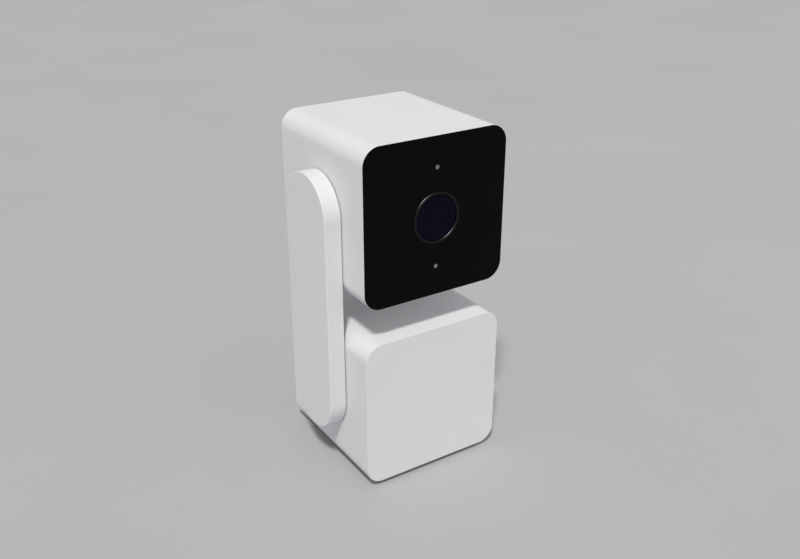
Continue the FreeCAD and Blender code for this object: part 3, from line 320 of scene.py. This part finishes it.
def metal(name, color, roughness, brush=(1, 1, 1), scale=900, depth=0.003 * MM):
    """Metal with fine tool marks along one way and a drift in its polish."""
    material, tree, shader = plain(name, color, roughness, 1.0)
    marks = noise(tree, scale, 4, 0.6, brush)
    tree.links.new(spread(tree, marks, roughness * 0.75, roughness * 1.35), shader.inputs["Roughness"])
    tree.links.new(tint(tree, noise(tree, 120, 3), shade(color, 0.93), shade(color, 1.04)),
                   shader.inputs["Base Color"])
    bump(tree, shader, marks, depth)
    return material


def rubber(name, color, roughness=0.75, dust_tint=1.35):
    """Silicone rubber: matt, with a soft skin and specks of dust."""
    material, tree, shader = plain(name, color, roughness)
    dust = noise(tree, 1400, 2, 0.7)
    tree.links.new(tint(tree, dust, color, shade(color, dust_tint)), shader.inputs["Base Color"])
    skin = spread(tree, noise(tree, 200, 4), roughness - 0.1, roughness + 0.1)
    tree.links.new(skin, shader.inputs["Roughness"])
    bump(tree, shader, noise(tree, 2500, 3), 0.02 * MM)
    return material


def lens_cover_glass(name):
    """The tinted glass over the lens: navy, coated, and just clear enough to show the lens behind it."""
    material, tree, shader = plain(name, (0.0024, 0.0024, 0.0095), 0.05)
    shader.inputs["Alpha"].default_value = 0.9
    shader.inputs["Specular IOR Level"].default_value = 0.06
    tree.links.new(spread(tree, noise(tree, 150, 5), 0.03, 0.07), shader.inputs["Roughness"])
    tree.links.new(tint(tree, noise(tree, 60, 2), (0.0021, 0.0021, 0.0085), (0.0027, 0.0027, 0.0105)),
                   shader.inputs["Base Color"])
    return material


def ring_gloss(name):
    """The lens ring: black lacquer over turned metal. Its gloss runs out along the ring, not across it."""
    material, tree, shader = plain(name, (0.0012, 0.0012, 0.0014), 0.3)
    shader.inputs["Specular IOR Level"].default_value = 0.22
    shader.inputs["Anisotropic"].default_value = 0.9
    around = add(tree, "ShaderNodeTangent", direction_type="RADIAL", axis="Y")
    tree.links.new(around.outputs["Tangent"], shader.inputs["Tangent"])
    tree.links.new(spread(tree, noise(tree, 300, 4), 0.28, 0.33), shader.inputs["Roughness"])
    tree.links.new(tint(tree, noise(tree, 700, 2), (0.0008, 0.0008, 0.001), (0.0016, 0.0016, 0.0018)),
                   shader.inputs["Base Color"])
    return material


def coated_glass(name):
    """A lens element: deep violet-blue under a hard glossy coat, with a painted sheen that turns its colour lighter
    purple towards grazing angles.
    """
    material, tree, shader = plain(name, (0.012, 0.010, 0.045), 0.03)
    shader.inputs["Coat Weight"].default_value = 1.0
    shader.inputs["Coat Roughness"].default_value = 0.02
    # Painted sheen: the base colour runs from deep blue face-on to lighter purple at grazing angles, standing in for
    # the coating's reflection.
    painted_sheen_angle = add(tree, "ShaderNodeLayerWeight", Blend=0.45)
    tree.links.new(tint(tree, painted_sheen_angle.outputs["Facing"], (0.004, 0.006, 0.03), (0.03, 0.012, 0.07)),
                   shader.inputs["Base Color"])
    return material


def frosted(name, color):
    """A small frosted window."""
    material, tree, shader = plain(name, color, 0.35)
    shader.inputs["Coat Weight"].default_value = 0.2
    tree.links.new(tint(tree, noise(tree, 1800, 3), shade(color, 0.85), shade(color, 1.15)),
                   shader.inputs["Base Color"])
    bump(tree, shader, noise(tree, 4000, 2), 0.004 * MM)
    return material


def board(name):
    """Green solder mask over copper traces."""
    material, tree, shader = plain(name, (0.02, 0.12, 0.06), 0.4)
    weave = noise(tree, 500, 2, 0.5, (1, 1, 4))
    tree.links.new(tint(tree, weave, (0.012, 0.09, 0.045), (0.02, 0.14, 0.07)), shader.inputs["Base Color"])
    bump(tree, shader, weave, 0.02 * MM)
    return material


def floor_material():
    """A plain pale studio floor."""
    material, tree, shader = plain("studio_floor", (0.47, 0.47, 0.48), 0.6)
    shader.inputs["Specular IOR Level"].default_value = 0.2
    tree.links.new(tint(tree, noise(tree, 6, 3), (0.46, 0.46, 0.47), (0.48, 0.48, 0.49)),
                   shader.inputs["Base Color"])
    return material


MATERIALS = {
    "white_shell": moulded("white_shell", WHITE),
    "white_cover": moulded("white_cover", shade(WHITE, 0.985), 0.48),
    "black_face": gloss_black("black_face"),
    "black_plastic": moulded("black_plastic", (0.012, 0.012, 0.013), 0.6),
    "rubber": rubber("foot_rubber", (0.035, 0.035, 0.038)),
    "flap_rubber": rubber("flap_rubber", shade(WHITE, 0.9), 0.65, 1.03),
    "brass": metal("brass", (0.78, 0.56, 0.25), 0.28, (1, 1, 6)),
    "gear_plastic": moulded("gear_plastic", (0.82, 0.79, 0.70), 0.4),
    "inner_plastic": moulded("inner_plastic", (0.26, 0.26, 0.27), 0.5),
    "steel": metal("steel", (0.62, 0.62, 0.64), 0.25),
    "motor_can": metal("motor_can", (0.66, 0.65, 0.63), 0.3, (1, 1, 8)),
    "board_green": board("board_green"),
    "chip_black": moulded("chip_black", (0.02, 0.02, 0.021), 0.55),
    "wire_sleeve": rubber("wire_sleeve", (0.03, 0.03, 0.03), 0.6),
    "aluminium": metal("aluminium", (0.75, 0.75, 0.77), 0.35, (8, 1, 1)),
    "antenna_foil": moulded("antenna_foil", (0.50, 0.26, 0.06), 0.35),
    "ring_metal": ring_gloss("ring_metal"),
    "lens_cover": lens_cover_glass("lens_cover"),
    "lens_black": metal("lens_black", (0.02, 0.02, 0.022), 0.4),
    "clear_glass": coated_glass("clear_glass"),
    "window_grey": frosted("window_grey", (0.17, 0.17, 0.17)),
    "lamp_clear": frosted("lamp_clear", (0.5, 0.5, 0.55)),
    "button_white": moulded("button_white", shade(WHITE, 0.95), 0.5),
}
GOLD = metal("contact_gold", (0.83, 0.62, 0.25), 0.22)


def dress_frame():
    """Give every CAD node its slot's material."""
    for entry in frame["record"]["subparts"]:
        node = frame["nodes"][entry["node"]]
        node.data.materials.clear()
        node.data.materials.append(MATERIALS[entry["material_slot"]])


def settle(piece, slot, body, *nodes):
    """Finish a piece: its material and slot, the body it rides on, and the CAD nodes it stands for."""
    piece.data.materials.clear()
    piece.data.materials.append(MATERIALS[slot])
    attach(piece, body)
    if nodes:
        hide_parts(*nodes)
    return piece


# ---- Housings ----

def square_ring(half, radius, level, middle):
    """A rounded-square ring square to Y, about a middle height."""
    return along("y", rounded_square(half, radius), level, (0, 0, middle))


def posts(middle):
    """The four posts inside a shell that take its rear cover's screws."""
    end = COVER_FRONT - LIP_DEPTH - 0.1 * MM
    profile = [(1.0 * MM, end - 7 * MM), (1.0 * MM, end), (2.4 * MM, end), (2.6 * MM, end - 0.2 * MM),
               (2.6 * MM, end - 9 * MM), (0.4 * MM, end - 9 * MM), (0.4 * MM, end - 7 * MM)]
    return [turned("post", "y", profile, (x, 0, z), 48, closed=True) for x, z in screw_spots(middle)]


def outer_rings(start, end, middle, start_edge, end_edge):
    """The outside of a housing from its front edge to its rear edge."""
    front = [square_ring(HALF - inset, CORNER - inset, start + depth, middle)
             for inset, depth in edge_round(start_edge)]
    rear = [square_ring(HALF - inset, CORNER - inset, end - depth, middle)
            for inset, depth in reversed(edge_round(end_edge))]
    return front + rear


def lower_shell():
    """The lower cube's shell: closed in front and open behind, with the foot's hole in its floor."""
    rings = outer_rings(FRONT, COVER_FRONT, LOWER_MID, SEAM_EDGE, SEAM_EDGE)
    rings += [square_ring(INSIDE, CORNER - WALL, level, LOWER_MID) for level in (COVER_FRONT, FRONT + WALL)]
    shell = loft("lower_shell", rings)
    combine(shell, "UNION", posts(LOWER_MID))
    hole_radius = 22.2 * MM
    low = LOWER_LOW.z
    carve(shell, hole("z", hole_radius, low, low + WALL * 1.6, (0, 0, 0), low, 0.3 * MM, RING_STEPS),
          hole("x", 3.5 * MM, -HALF - MM, -INSIDE + MM, (0, 0, LOWER_MID)))
    settle(smooth(shell), "white_shell", "pan_body", "body_shell")


def head_casing():
    """The head's shell: a tube with the axle's hole, the card slot and the flap's recess."""
    rings = outer_rings(HEAD_LOW.y, HEAD_HIGH.y, HEAD_MID, SEAM_EDGE / 3, SEAM_EDGE)
    rings += [square_ring(INSIDE, CORNER - WALL, level, HEAD_MID) for level in (HEAD_HIGH.y, HEAD_LOW.y)]
    shell = combine(loft("head_casing", rings, closed=True), "UNION", posts(HEAD_MID))
    low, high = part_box("card_door")
    gap = 0.25 * MM
    under = HEAD_LOW.z
    middle_x, middle_y = (low.x + high.x) / 2, (low.y + high.y) / 2
    recess = rounded_square((high.x - low.x) / 2 + gap, 0.8 * MM, (high.y - low.y) / 2 + gap, 8)
    carve(shell, hole("x", 8 * MM, -HALF - MM, -INSIDE + MM, (0, 0, HEAD_MID), None, steps=RING_STEPS),
          loft("cutter", [along("z", recess, level, (middle_x, middle_y, 0))
                          for level in (under - MM, high.z + 0.15 * MM)]))
    carve(shell, block((15.1 * MM, -6.2 * MM, under - MM), (17.3 * MM, 6.2 * MM, under + 2 * WALL)))
    settle(smooth(shell), "white_shell", "head", "head_shell")


def cover_plate(name, middle):
    """A rear cover: its plate with soft edges, and the lip that locates it."""
    plate = loft(name, outer_rings(COVER_FRONT, REAR, middle, SEAM_EDGE, SEAM_EDGE * 2))
    lip = [square_ring(INSIDE - LIP_INSET - inset, CORNER - WALL - LIP_INSET - inset, level, middle)
           for inset, level in ((0, COVER_FRONT + 0.5 * MM), (0, COVER_FRONT - LIP_DEPTH),
                                (LIP_INSET, COVER_FRONT - LIP_DEPTH), (LIP_INSET, COVER_FRONT + 0.5 * MM))]
    return combine(plate, "UNION", [loft("lip", lip, closed=True)])


def screw_spots(middle):
    """The four screw places of a rear cover."""
    return [(side * SCREW_ACROSS, middle + up * SCREW_UP) for side in (-1, 1) for up in (-1, 1)]


def screw_holes(middle):
    """Cutters for a cover's screws: the head's well with a soft mouth, and the shank's hole below it."""
    cutters = []
    for x, z in screw_spots(middle):
        cutters.append(turned("cutter", "y", [
            (1.0 * MM, COVER_FRONT - 3 * MM), (1.0 * MM, REAR - 1.3 * MM), (1.98 * MM, REAR - 1.3 * MM),
            (1.98 * MM, REAR - 0.15 * MM), (2.03 * MM, REAR - 0.05 * MM),
            (2.13 * MM, REAR), (2.13 * MM, REAR + MM)],
            (x, 0, z), 48))
    return cutters


def lower_rear_cover():
    """The lower cube's rear cover: sound holes, port, button hole, pinhole and screw wells."""
    cover = cover_plate("lower_rear_cover", LOWER_MID)
    port_low, port_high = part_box("usb_inlet")
    button_low, button_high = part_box("setup_button")
    mic_low, mic_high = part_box("microphone")
    speaker_low, speaker_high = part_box("speaker")
    port_mid = (port_low.z + port_high.z) / 2
    carve(cover, *screw_holes(LOWER_MID))
    radius = (port_high.z - port_low.z) / 2 + 0.15 * MM
    reach = (port_high.x - port_low.x) / 2 + 0.15 * MM
    mouth = [(radius, reach, COVER_FRONT - 2 * MM), (radius, reach, REAR - 0.25 * MM),
             (radius + 0.08 * MM, reach + 0.08 * MM, REAR - 0.1 * MM),
             (radius + 0.25 * MM, reach + 0.25 * MM, REAR), (radius + 0.25 * MM, reach + 0.25 * MM, REAR + MM)]
    port = loft("cutter", [along("y", rounded_square(wide, tall - 1e-6, tall, 12), level, (0, 0, port_mid))
                           for tall, wide, level in mouth])
    button_mid = ((button_low.x + button_high.x) / 2, 0, (button_low.z + button_high.z) / 2)
    mic_mid = ((mic_low.x + mic_high.x) / 2, 0, (mic_low.z + mic_high.z) / 2)
    carve(cover, port,
          hole("y", 2.6 * MM, COVER_FRONT - 2 * MM, REAR, button_mid, REAR, 0.3 * MM),
          hole("y", 0.5 * MM, COVER_FRONT - 2 * MM, REAR, mic_mid, REAR, 0.15 * MM, 32))
    speaker_mid = (speaker_low.z + speaker_high.z) / 2
    spots = [(0, 0)]
    for ring in (1, 2, 3):
        for step in range(6 * ring):
            turn = 2 * math.pi * step / (6 * ring)
            spots.append((ring * 2.4 * MM * math.cos(turn), ring * 2.4 * MM * math.sin(turn)))
    carve(cover, *[hole("y", 0.7 * MM, COVER_FRONT - 2 * MM, REAR, (x, 0, speaker_mid + z), REAR, 0.12 * MM, 24)
                   for x, z in spots])
    settle(smooth(cover), "white_cover", "pan_body", "body_rear_cover")


def head_rear_cover():
    """The head's plain rear cover."""
    cover = carve(cover_plate("head_back", HEAD_MID), *screw_holes(HEAD_MID))
    settle(smooth(cover), "white_cover", "head", "head_rear_cover")


def make_arm():
    """The arm's cover: a hollow pill with a softened outer edge and a hair of rounding at its inner one."""
    radius = (ARM_HIGH.y - ARM_LOW.y) / 2
    low, high = ARM_LOW.z + radius, ARM_HIGH.z - radius
    reach = high - low
    wall = 1.4 * MM
    rings = [along("x", pill(radius - inset, reach), ARM_LOW.x + depth, (0, 0, low))
             for inset, depth in edge_round(ARM_EDGE, 8)]
    rings += [along("x", pill(radius - inset, reach), ARM_HIGH.x - depth, (0, 0, low))
              for inset, depth in reversed(edge_round(SEAM_EDGE))]
    rings += [along("x", pill(radius - wall, reach), level, (0, 0, low))
              for level in (ARM_HIGH.x, ARM_LOW.x + wall)]
    settle(smooth(loft("arm", rings)), "white_shell", "pan_body", "arm_cover")


# ---- Face and lens ----

def make_face():
    """The black face: a sheet with softened edges on an inset body, its lens hole and two window holes."""
    ring_low, ring_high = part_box("lens_ring")
    radius = (ring_high.x - ring_low.x) / 2
    edge = 0.12 * MM
    rings = [square_ring(HALF - inset, CORNER - inset, FRONT + depth, HEAD_MID)
             for inset, depth in edge_round(edge)]
    back = HEAD_LOW.y
    rings += [square_ring(HALF, CORNER, back - 0.02 * MM, HEAD_MID),
              square_ring(INSIDE - 0.05 * MM, CORNER - WALL, back, HEAD_MID),
              square_ring(INSIDE - 0.05 * MM, CORNER - WALL, FRONT + 1.8 * MM, HEAD_MID)]
    face = loft("face", rings)
    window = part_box("light_sensor_window")
    dot_radius = (window[1].x - window[0].x) / 2
    dot_up = (window[0].z + window[1].z) / 2 - HEAD_MID
    cutters = [hole("y", radius, FRONT, FRONT + 3 * MM, (0, 0, HEAD_MID), FRONT, 0.06 * MM, RING_STEPS)]
    cutters += [hole("y", dot_radius, FRONT, FRONT + 3 * MM, (0, 0, HEAD_MID + up), FRONT, 0.05 * MM, 32)
                for up in (-dot_up, dot_up)]
    settle(smooth(carve(face, *cutters)), "black_face", "head", "face_plate")


def make_lens_ring():
    """The lens ring: a flat band with a bright-cut bevel at each edge, on a sleeve that holds the glass."""
    low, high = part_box("lens_ring")
    outer = (high.x - low.x) / 2
    inner, sleeve = outer - RING_BAND, outer - 1.24 * MM
    bevel, tilt = 0.28 * MM, math.radians(51.5)
    across, deep = bevel * math.cos(tilt), bevel * math.sin(tilt)
    profile = [(outer, low.y + deep), (outer - across, low.y), (inner + across, low.y), (inner, low.y + deep),
               (inner, FRONT + 1.3 * MM), (sleeve, FRONT + 1.35 * MM), (sleeve, high.y), (outer, high.y)]
    ring = turned("ring", "y", profile, (0, 0, HEAD_MID), 128, closed=True)
    settle(smooth(ring), "ring_metal", "head", "lens_ring")


def make_lens_glass():
    """The cover glass: a disc with a ground edge, set just inside the ring."""
    low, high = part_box("lens_glass")
    ring_low, ring_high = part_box("lens_ring")
    radius = (ring_high.x - ring_low.x) / 2 - RING_BAND - 0.02 * MM
    rim = 0.12 * MM
    profile = [(radius - rim, low.y), (radius, low.y + rim), (radius, high.y - rim), (radius - rim, high.y)]
    glass = turned("glass", "y", profile, (0, 0, HEAD_MID), 128)
    settle(smooth(glass), "lens_cover", "head", "lens_glass")


def make_hood():
    """The stepped black baffle between the glass and the lens."""
    low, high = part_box("lens_hood")
    outer = (high.x - low.x) / 2
    inner_end = 7.4 * MM
    steps = 7
    profile = []
    for step in range(steps):
        radius = outer - 0.35 * MM + (inner_end - outer) * step / steps
        near, far = (low.y + (high.y - low.y) * level / steps for level in (step, step + 1))
        profile += [(radius, near), (radius, far)]
    profile += [(inner_end + 0.5 * MM, high.y), (outer, low.y + MM), (outer, low.y)]
    hood = turned("hood", "y", profile, (0, 0, HEAD_MID), closed=True)
    settle(smooth(hood), "black_plastic", "head", "lens_hood")


def make_barrel():
    """The lens barrel: a stepped nose round the front glass, and a threaded tail."""
    low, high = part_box("lens_barrel")
    nose, tail, bore = 7.2 * MM, 6.0 * MM, 4.8 * MM
    step = low.y + 4.6 * MM
    profile = [(5.7 * MM, low.y + 0.5 * MM), (5.95 * MM, low.y + 0.5 * MM), (6.0 * MM, low.y),
               (7.0 * MM, low.y), (nose, low.y + 0.2 * MM), (nose, step), (tail, step)]
    pitch = 0.5 * MM
    turns = int((high.y - step) / pitch) - 1
    for turn in range(turns):
        start = step + pitch * (turn + 1)
        profile += [(tail - 0.01 * MM, start), (tail - 0.25 * MM, start + pitch / 2)]
    profile += [(tail - 0.2 * MM, high.y), (bore, high.y), (bore, step - 1.6 * MM), (5.7 * MM, step - 1.6 * MM)]
    settle(smooth(turned("barrel", "y", profile, (0, 0, HEAD_MID), closed=True)), "lens_black", "head",
           "lens_barrel")


def make_front_element():
    """The domed front glass of the lens."""
    low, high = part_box("lens_front_element")
    radius = (high.x - low.x) / 2 - 0.02 * MM
    crown = 0.9 * MM
    bulge = (radius ** 2 + crown ** 2) / (2 * crown)
    profile = []
    for step in range(1, 21):
        reach = radius * step / 20
        profile.append((reach, low.y + bulge - math.sqrt(bulge ** 2 - reach ** 2)))
    profile.append((radius, high.y))
    settle(smooth(turned("front_element", "y", profile, (0, 0, HEAD_MID)), 60), "clear_glass", "head",
           "lens_front_element")


def make_windows():
    """The two small windows: slightly domed frosted plugs."""
    for node, name in (("light_sensor_window", "sensor_window"), ("status_light_pipe", "status_window")):
        low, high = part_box(node)
        radius = (high.x - low.x) / 2 - 0.02 * MM
        profile = [(radius * 0.35, FRONT), (radius * 0.7, FRONT + 0.02 * MM),
                   (radius * 0.92, FRONT + 0.06 * MM), (radius, FRONT + 0.15 * MM), (radius, high.y)]
        plug = turned(name, "y", profile, (0, 0, (low.z + high.z) / 2), 48)
        settle(smooth(plug), "window_grey", "head", node)


# ---- Foot ----

def make_foot():
    """The foot: its plate with a boss and a hub, the rubber ring, and the threaded tripod insert."""
    low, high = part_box("base_plate")
    radius = (high.x - low.x) / 2
    boss, hub, spigot, insert = 10.0 * MM, 8.5 * MM, 7.5 * MM, 4.0 * MM
    pad_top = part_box("foot_pad")[1].z
    top = 3.4 * MM
    profile = [(insert, 0.0), (boss - 0.2 * MM, 0.0), (boss, 0.2 * MM), (boss, pad_top),
               (radius - 0.4 * MM, pad_top),
               (radius, pad_top + 0.4 * MM), (radius, top - 0.4 * MM), (radius - 0.4 * MM, top),
               (boss + 0.5 * MM, top), (boss + 0.5 * MM, top + 0.8 * MM), (hub, top + 0.8 * MM), (hub, 9.3 * MM),
               (spigot, 9.3 * MM), (spigot, high.z), (insert, high.z), (insert, 8 * MM)]
    plate = turned("foot_plate", "z", profile, steps=128, closed=True)
    settle(smooth(plate), "white_cover", "base", "base_plate")
    inner, outer = 10.5 * MM, 20.0 * MM
    soft = 0.25 * MM
    ring = [(inner, soft), (inner + soft, 0.0)]
    grooves = 5
    for groove in range(grooves):
        middle = inner + (outer - inner) * (groove + 1) / (grooves + 1)
        ring += [(middle - 0.3 * MM, 0.0), (middle - 0.15 * MM, 0.3 * MM), (middle + 0.15 * MM, 0.3 * MM),
                 (middle + 0.3 * MM, 0.0)]
    ring += [(outer - soft, 0.0), (outer, soft), (outer, pad_top), (inner, pad_top)]
    settle(smooth(turned("foot_ring", "z", ring, steps=128, closed=True)), "rubber", "base", "foot_pad")
    make_insert(insert)


def make_insert(outer):
    """The brass insert, with a quarter-inch tripod thread cut up into it."""
    low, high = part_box("tripod_insert")
    crest, root, pitch, steps = 2.6 * MM, 3.08 * MM, 1.27 * MM, 64
    levels = int((high.z - low.z) / pitch * 10)
    rings = [along("z", circle(outer, steps), high.z), along("z", circle(outer, steps), low.z)]
    rings.append(along("z", circle(root + 0.25 * MM, steps), low.z))
    for level in range(levels + 1):
        height = low.z + 0.3 * MM + (high.z - low.z - 0.3 * MM) * level / levels
        ring = []
        for step in range(steps):
            turn = step / steps
            wave = (height / pitch - turn) % 1.0
            depth = 1 - abs(2 * wave - 1)
            radius = crest + (root - crest) * min(1.0, depth * 1.25)
            angle = 2 * math.pi * turn
            ring.append(Vector((radius * math.cos(angle), radius * math.sin(angle), height)))
        rings.append(ring)
    settle(smooth(loft("threaded_insert", rings, closed=True), 50), "brass", "base", "tripod_insert")


# ---- Screws, port, button and flap ----

def cross_screw(head_level, tip_level, radius=1.8 * MM, shank=0.9 * MM):
    """A pan-head cross-recess screw along Y about 0, its head ending at head_level."""
    tall = 1.2 * MM
    under = head_level - tall
    profile = [(shank * 0.6, tip_level), (shank, tip_level + 0.5 * MM)]
    pitch = 0.5 * MM
    turns = int((under - tip_level - MM) / pitch)
    for turn in range(turns):
        start = tip_level + 0.5 * MM + turn * pitch
        profile += [(shank, start + pitch * 0.3), (shank - 0.2 * MM, start + pitch * 0.65),
                    (shank, start + pitch)]
    profile += [(shank, under), (radius, under), (radius, head_level - 0.55 * MM)]
    for step in range(1, 7):
        turn = math.pi / 2 * step / 6
        profile.append((radius - 0.75 * MM * (1 - math.cos(turn)),
                        head_level - 0.55 * MM + 0.55 * MM * math.sin(turn)))
    screw = turned("screw", "y", profile, steps=40)
    blades = []
    corners = ((-1, -1), (1, -1), (1, 1), (-1, 1))
    for long_x in (True, False):
        wide, thin = 0.95 * MM, 0.2 * MM
        half_x, half_z = (wide, thin) if long_x else (thin, wide)
        blades.append(loft("cutter", [
            along("y", [(a * half_x * grow, b * half_z * grow) for a, b in corners], level)
            for grow, level in ((0.55, head_level - 0.8 * MM), (1.0, head_level + 0.1 * MM))]))
    for blade in blades:
        carve(screw, blade)
    return smooth(screw)


def copies(name, piece, moves):
    """One object of a piece's copies at several moves. The piece goes."""
    build = bmesh.new()
    for move in moves:
        mesh = piece.data.copy()
        mesh.transform(move)
        build.from_mesh(mesh)
        bpy.data.meshes.remove(mesh)
    mesh = bpy.data.meshes.new(name)
    build.to_mesh(mesh)
    build.free()
    bpy.data.objects.remove(piece)
    return link(name, mesh)


def make_screws():
    """The rear covers' screws, each turned to its own angle."""
    low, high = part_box("rear_cover_screws")
    tip, top = low.y, high.y
    turns = (0.3, 1.1, 0.75, 1.4)
    spins = [Matrix.Rotation(turn, 4, "Y") for turn in turns]
    places = [Matrix.Translation((x, 0, z)) @ spin for (x, z), spin in zip(screw_spots(LOWER_MID), spins)]
    set_low = copies("cover_screws", cross_screw(top, tip), places)
    settle(smooth(set_low), "steel", "pan_body", "rear_cover_screws")
    up = Matrix.Translation((0, 0, HEAD_MID - LOWER_MID))
    set_high = copies("casing_screws", cross_screw(top, tip), [up @ place for place in reversed(places)])
    settle(smooth(set_high), "steel", "head", "head_screws")


def make_port():
    """The power port: a drawn shell with its tongue and gold contacts."""
    low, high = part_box("usb_inlet")
    middle = (0, 0, (low.z + high.z) / 2)
    tall, wide = (high.z - low.z) / 2, (high.x - low.x) / 2
    wall = 0.3 * MM

    def ring(inset, level):
        return along("y", rounded_square(wide - inset, tall - inset - 1e-6, tall - inset, 14), level, middle)

    shell = loft("port", [ring(0, low.y), ring(0, high.y - 0.1 * MM), ring(0.1 * MM, high.y),
                          ring(wall - 0.05 * MM, high.y), ring(wall, high.y - 0.1 * MM),
                          ring(wall, low.y + 1.5 * MM)])
    settle(smooth(shell), "steel", "pan_body", "usb_inlet")
    tongue_half, tongue_thin = wide - 1.4 * MM, 0.35 * MM
    tongue = loft("port_tongue", [along("y", rounded_square(tongue_half - inset, 0.3 * MM, tongue_thin, 4),
                                        level, middle)
                                  for inset, level in ((0, low.y + MM), (0, high.y - 1.4 * MM),
                                                       (0.25 * MM, high.y - 1.1 * MM))])
    settle(smooth(tongue), "chip_black", "pan_body")
    strips = []
    for side in (-1, 1):
        for step in range(12):
            x = (step - 5.5) * 0.5 * MM
            face = middle[2] + side * tongue_thin
            strips.append(block((x - 0.12 * MM, high.y - 6 * MM, min(face, face + side * 0.05 * MM)),
                                (x + 0.12 * MM, high.y - 1.6 * MM, max(face, face + side * 0.05 * MM))))
    contacts = settle(join("port_contacts", strips), "brass", "pan_body")
    contacts.data.materials[0] = GOLD


def make_button():
    """The setup button: a flanged plunger with a dished top."""
    low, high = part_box("setup_button")
    centre = ((low.x + high.x) / 2, 0, (low.z + high.z) / 2)
    flange, radius = (high.x - low.x) / 2, 2.5 * MM
    profile = [(flange - 0.1 * MM, low.y), (flange, low.y + 0.1 * MM), (flange, low.y + MM), (radius, low.y + MM),
               (radius, high.y - 0.3 * MM), (radius - 0.1 * MM, high.y - 0.1 * MM), (radius - 0.35 * MM, high.y)]
    for step in range(1, 10):
        share = step / 10
        profile.append(((radius - 0.35 * MM) * (1 - share), high.y - 0.35 * MM * math.sin(share * math.pi / 2)))
    settle(smooth(turned("button_cap", "y", profile, centre, 64)), "button_white", "button", "setup_button")


def make_flap():
    """The rubber flap over the card slot: its leaf with a finger notch, and the bead that it swings on."""
    low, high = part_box("card_door")
    pivot_x, pivot_z, bead = 21.0 * MM, low.z + 0.5 * MM, 0.5 * MM
    middle = ((low.x + pivot_x) / 2, 0, 0)
    half_x, half_y = (pivot_x - low.x) / 2, (high.y - low.y) / 2
    soft = 0.15 * MM
    leaf = loft("flap", [along("z", rounded_square(half_x - inset, 0.7 * MM - inset, half_y - inset, 8),
                               level, middle)
                         for inset, level in ((soft, low.z), (0, low.z + soft), (0, high.z - soft), (soft, high.z))])
    hinge = turned("bead", "y", [(bead - soft, -half_y), (bead, -half_y + soft), (bead, half_y - soft),
                                 (bead - soft, half_y)], (pivot_x, 0, pivot_z), 32)
    combine(leaf, "UNION", [hinge])
    notch = turned("cutter", "z", [(2.6 * MM, low.z - MM), (2.6 * MM, low.z), (1.9 * MM, low.z + 0.6 * MM)],
                   (low.x, 0, 0), 40)
    carve(leaf, notch)
    grooves = [loft("cutter", [along("z", rounded_square(0.25 * MM * grow, 0.2 * MM * grow, 3.5 * MM, 6), level,
                                     (low.x + offset, 0, 0))
                               for grow, level in ((1.4, low.z - MM), (1.4, low.z), (0.8, low.z + 0.3 * MM))])
               for offset in (3.6 * MM, 4.8 * MM, 6.0 * MM)]
    settle(smooth(carve(leaf, *grooves)), "flap_rubber", "card_flap", "card_door")


# ---- The studio ----

def make_studio():
    """A wide pale floor, a soft key light at the upper left, a weak fill and an even sky."""
    reach = 12.0
    build = bmesh.new()
    corners = [build.verts.new((x * reach, y * reach, 0)) for x, y in ((-1, -1), (1, -1), (1, 1), (-1, 1))]
    build.faces.new(corners)
    mesh = bpy.data.meshes.new("studio_floor")
    build.to_mesh(mesh)
    build.free()
    floor = link("studio_floor", mesh)
    floor.data.materials.append(floor_material())
    key = lamp("key", "SUN", Vector((-0.354, -0.426, 0.834)))
    key.energy = 2.2
    key.angle = math.radians(6)
    fill = lamp("fill", "AREA", Vector((0.75, -0.6, 0.35)))
    fill.energy = 1.6
    fill.size = 1.2
    world = bpy.data.worlds.new("studio")
    world.use_nodes = True
    sky = world.node_tree.nodes["Background"]
    sky.inputs["Color"].default_value = (0.97, 0.98, 1.0, 1)
    sky.inputs["Strength"].default_value = 0.415
    bpy.context.scene.world = world
    bpy.context.scene.view_settings.view_transform = "Standard"


def lamp(name, kind, toward):
    """A lamp's settings. It stands off the object in a direction, and shines at its middle."""
    target = Vector((0, 0, 0.07))
    data = bpy.data.lights.new(name, kind)
    stand = bpy.data.objects.new(name, data)
    stand.location = target + toward.normalized() * 1.6
    stand.rotation_euler = (target - stand.location).to_track_quat("-Z", "Y").to_euler()
    bpy.context.scene.collection.objects.link(stand)
    return data


def make_camera():
    """A camera at the photograph's viewing angle."""
    data = bpy.data.cameras.new("camera")
    data.sensor_width = 36
    data.lens = 41.86
    data.clip_start = 0.01
    camera = bpy.data.objects.new("camera", data)
    camera.location = (-0.17211, -0.27196, 0.21797)
    camera.rotation_euler = (math.radians(65.041), 0, math.radians(-32.895))
    bpy.context.scene.collection.objects.link(camera)
    bpy.context.scene.camera = camera


dress_frame()
lower_shell()
lower_rear_cover()
head_casing()
head_rear_cover()
make_arm()
make_face()
make_lens_ring()
make_lens_glass()
make_hood()
make_barrel()
make_front_element()
make_windows()
make_foot()
make_screws()
make_port()
make_button()
make_flap()
make_studio()
make_camera()
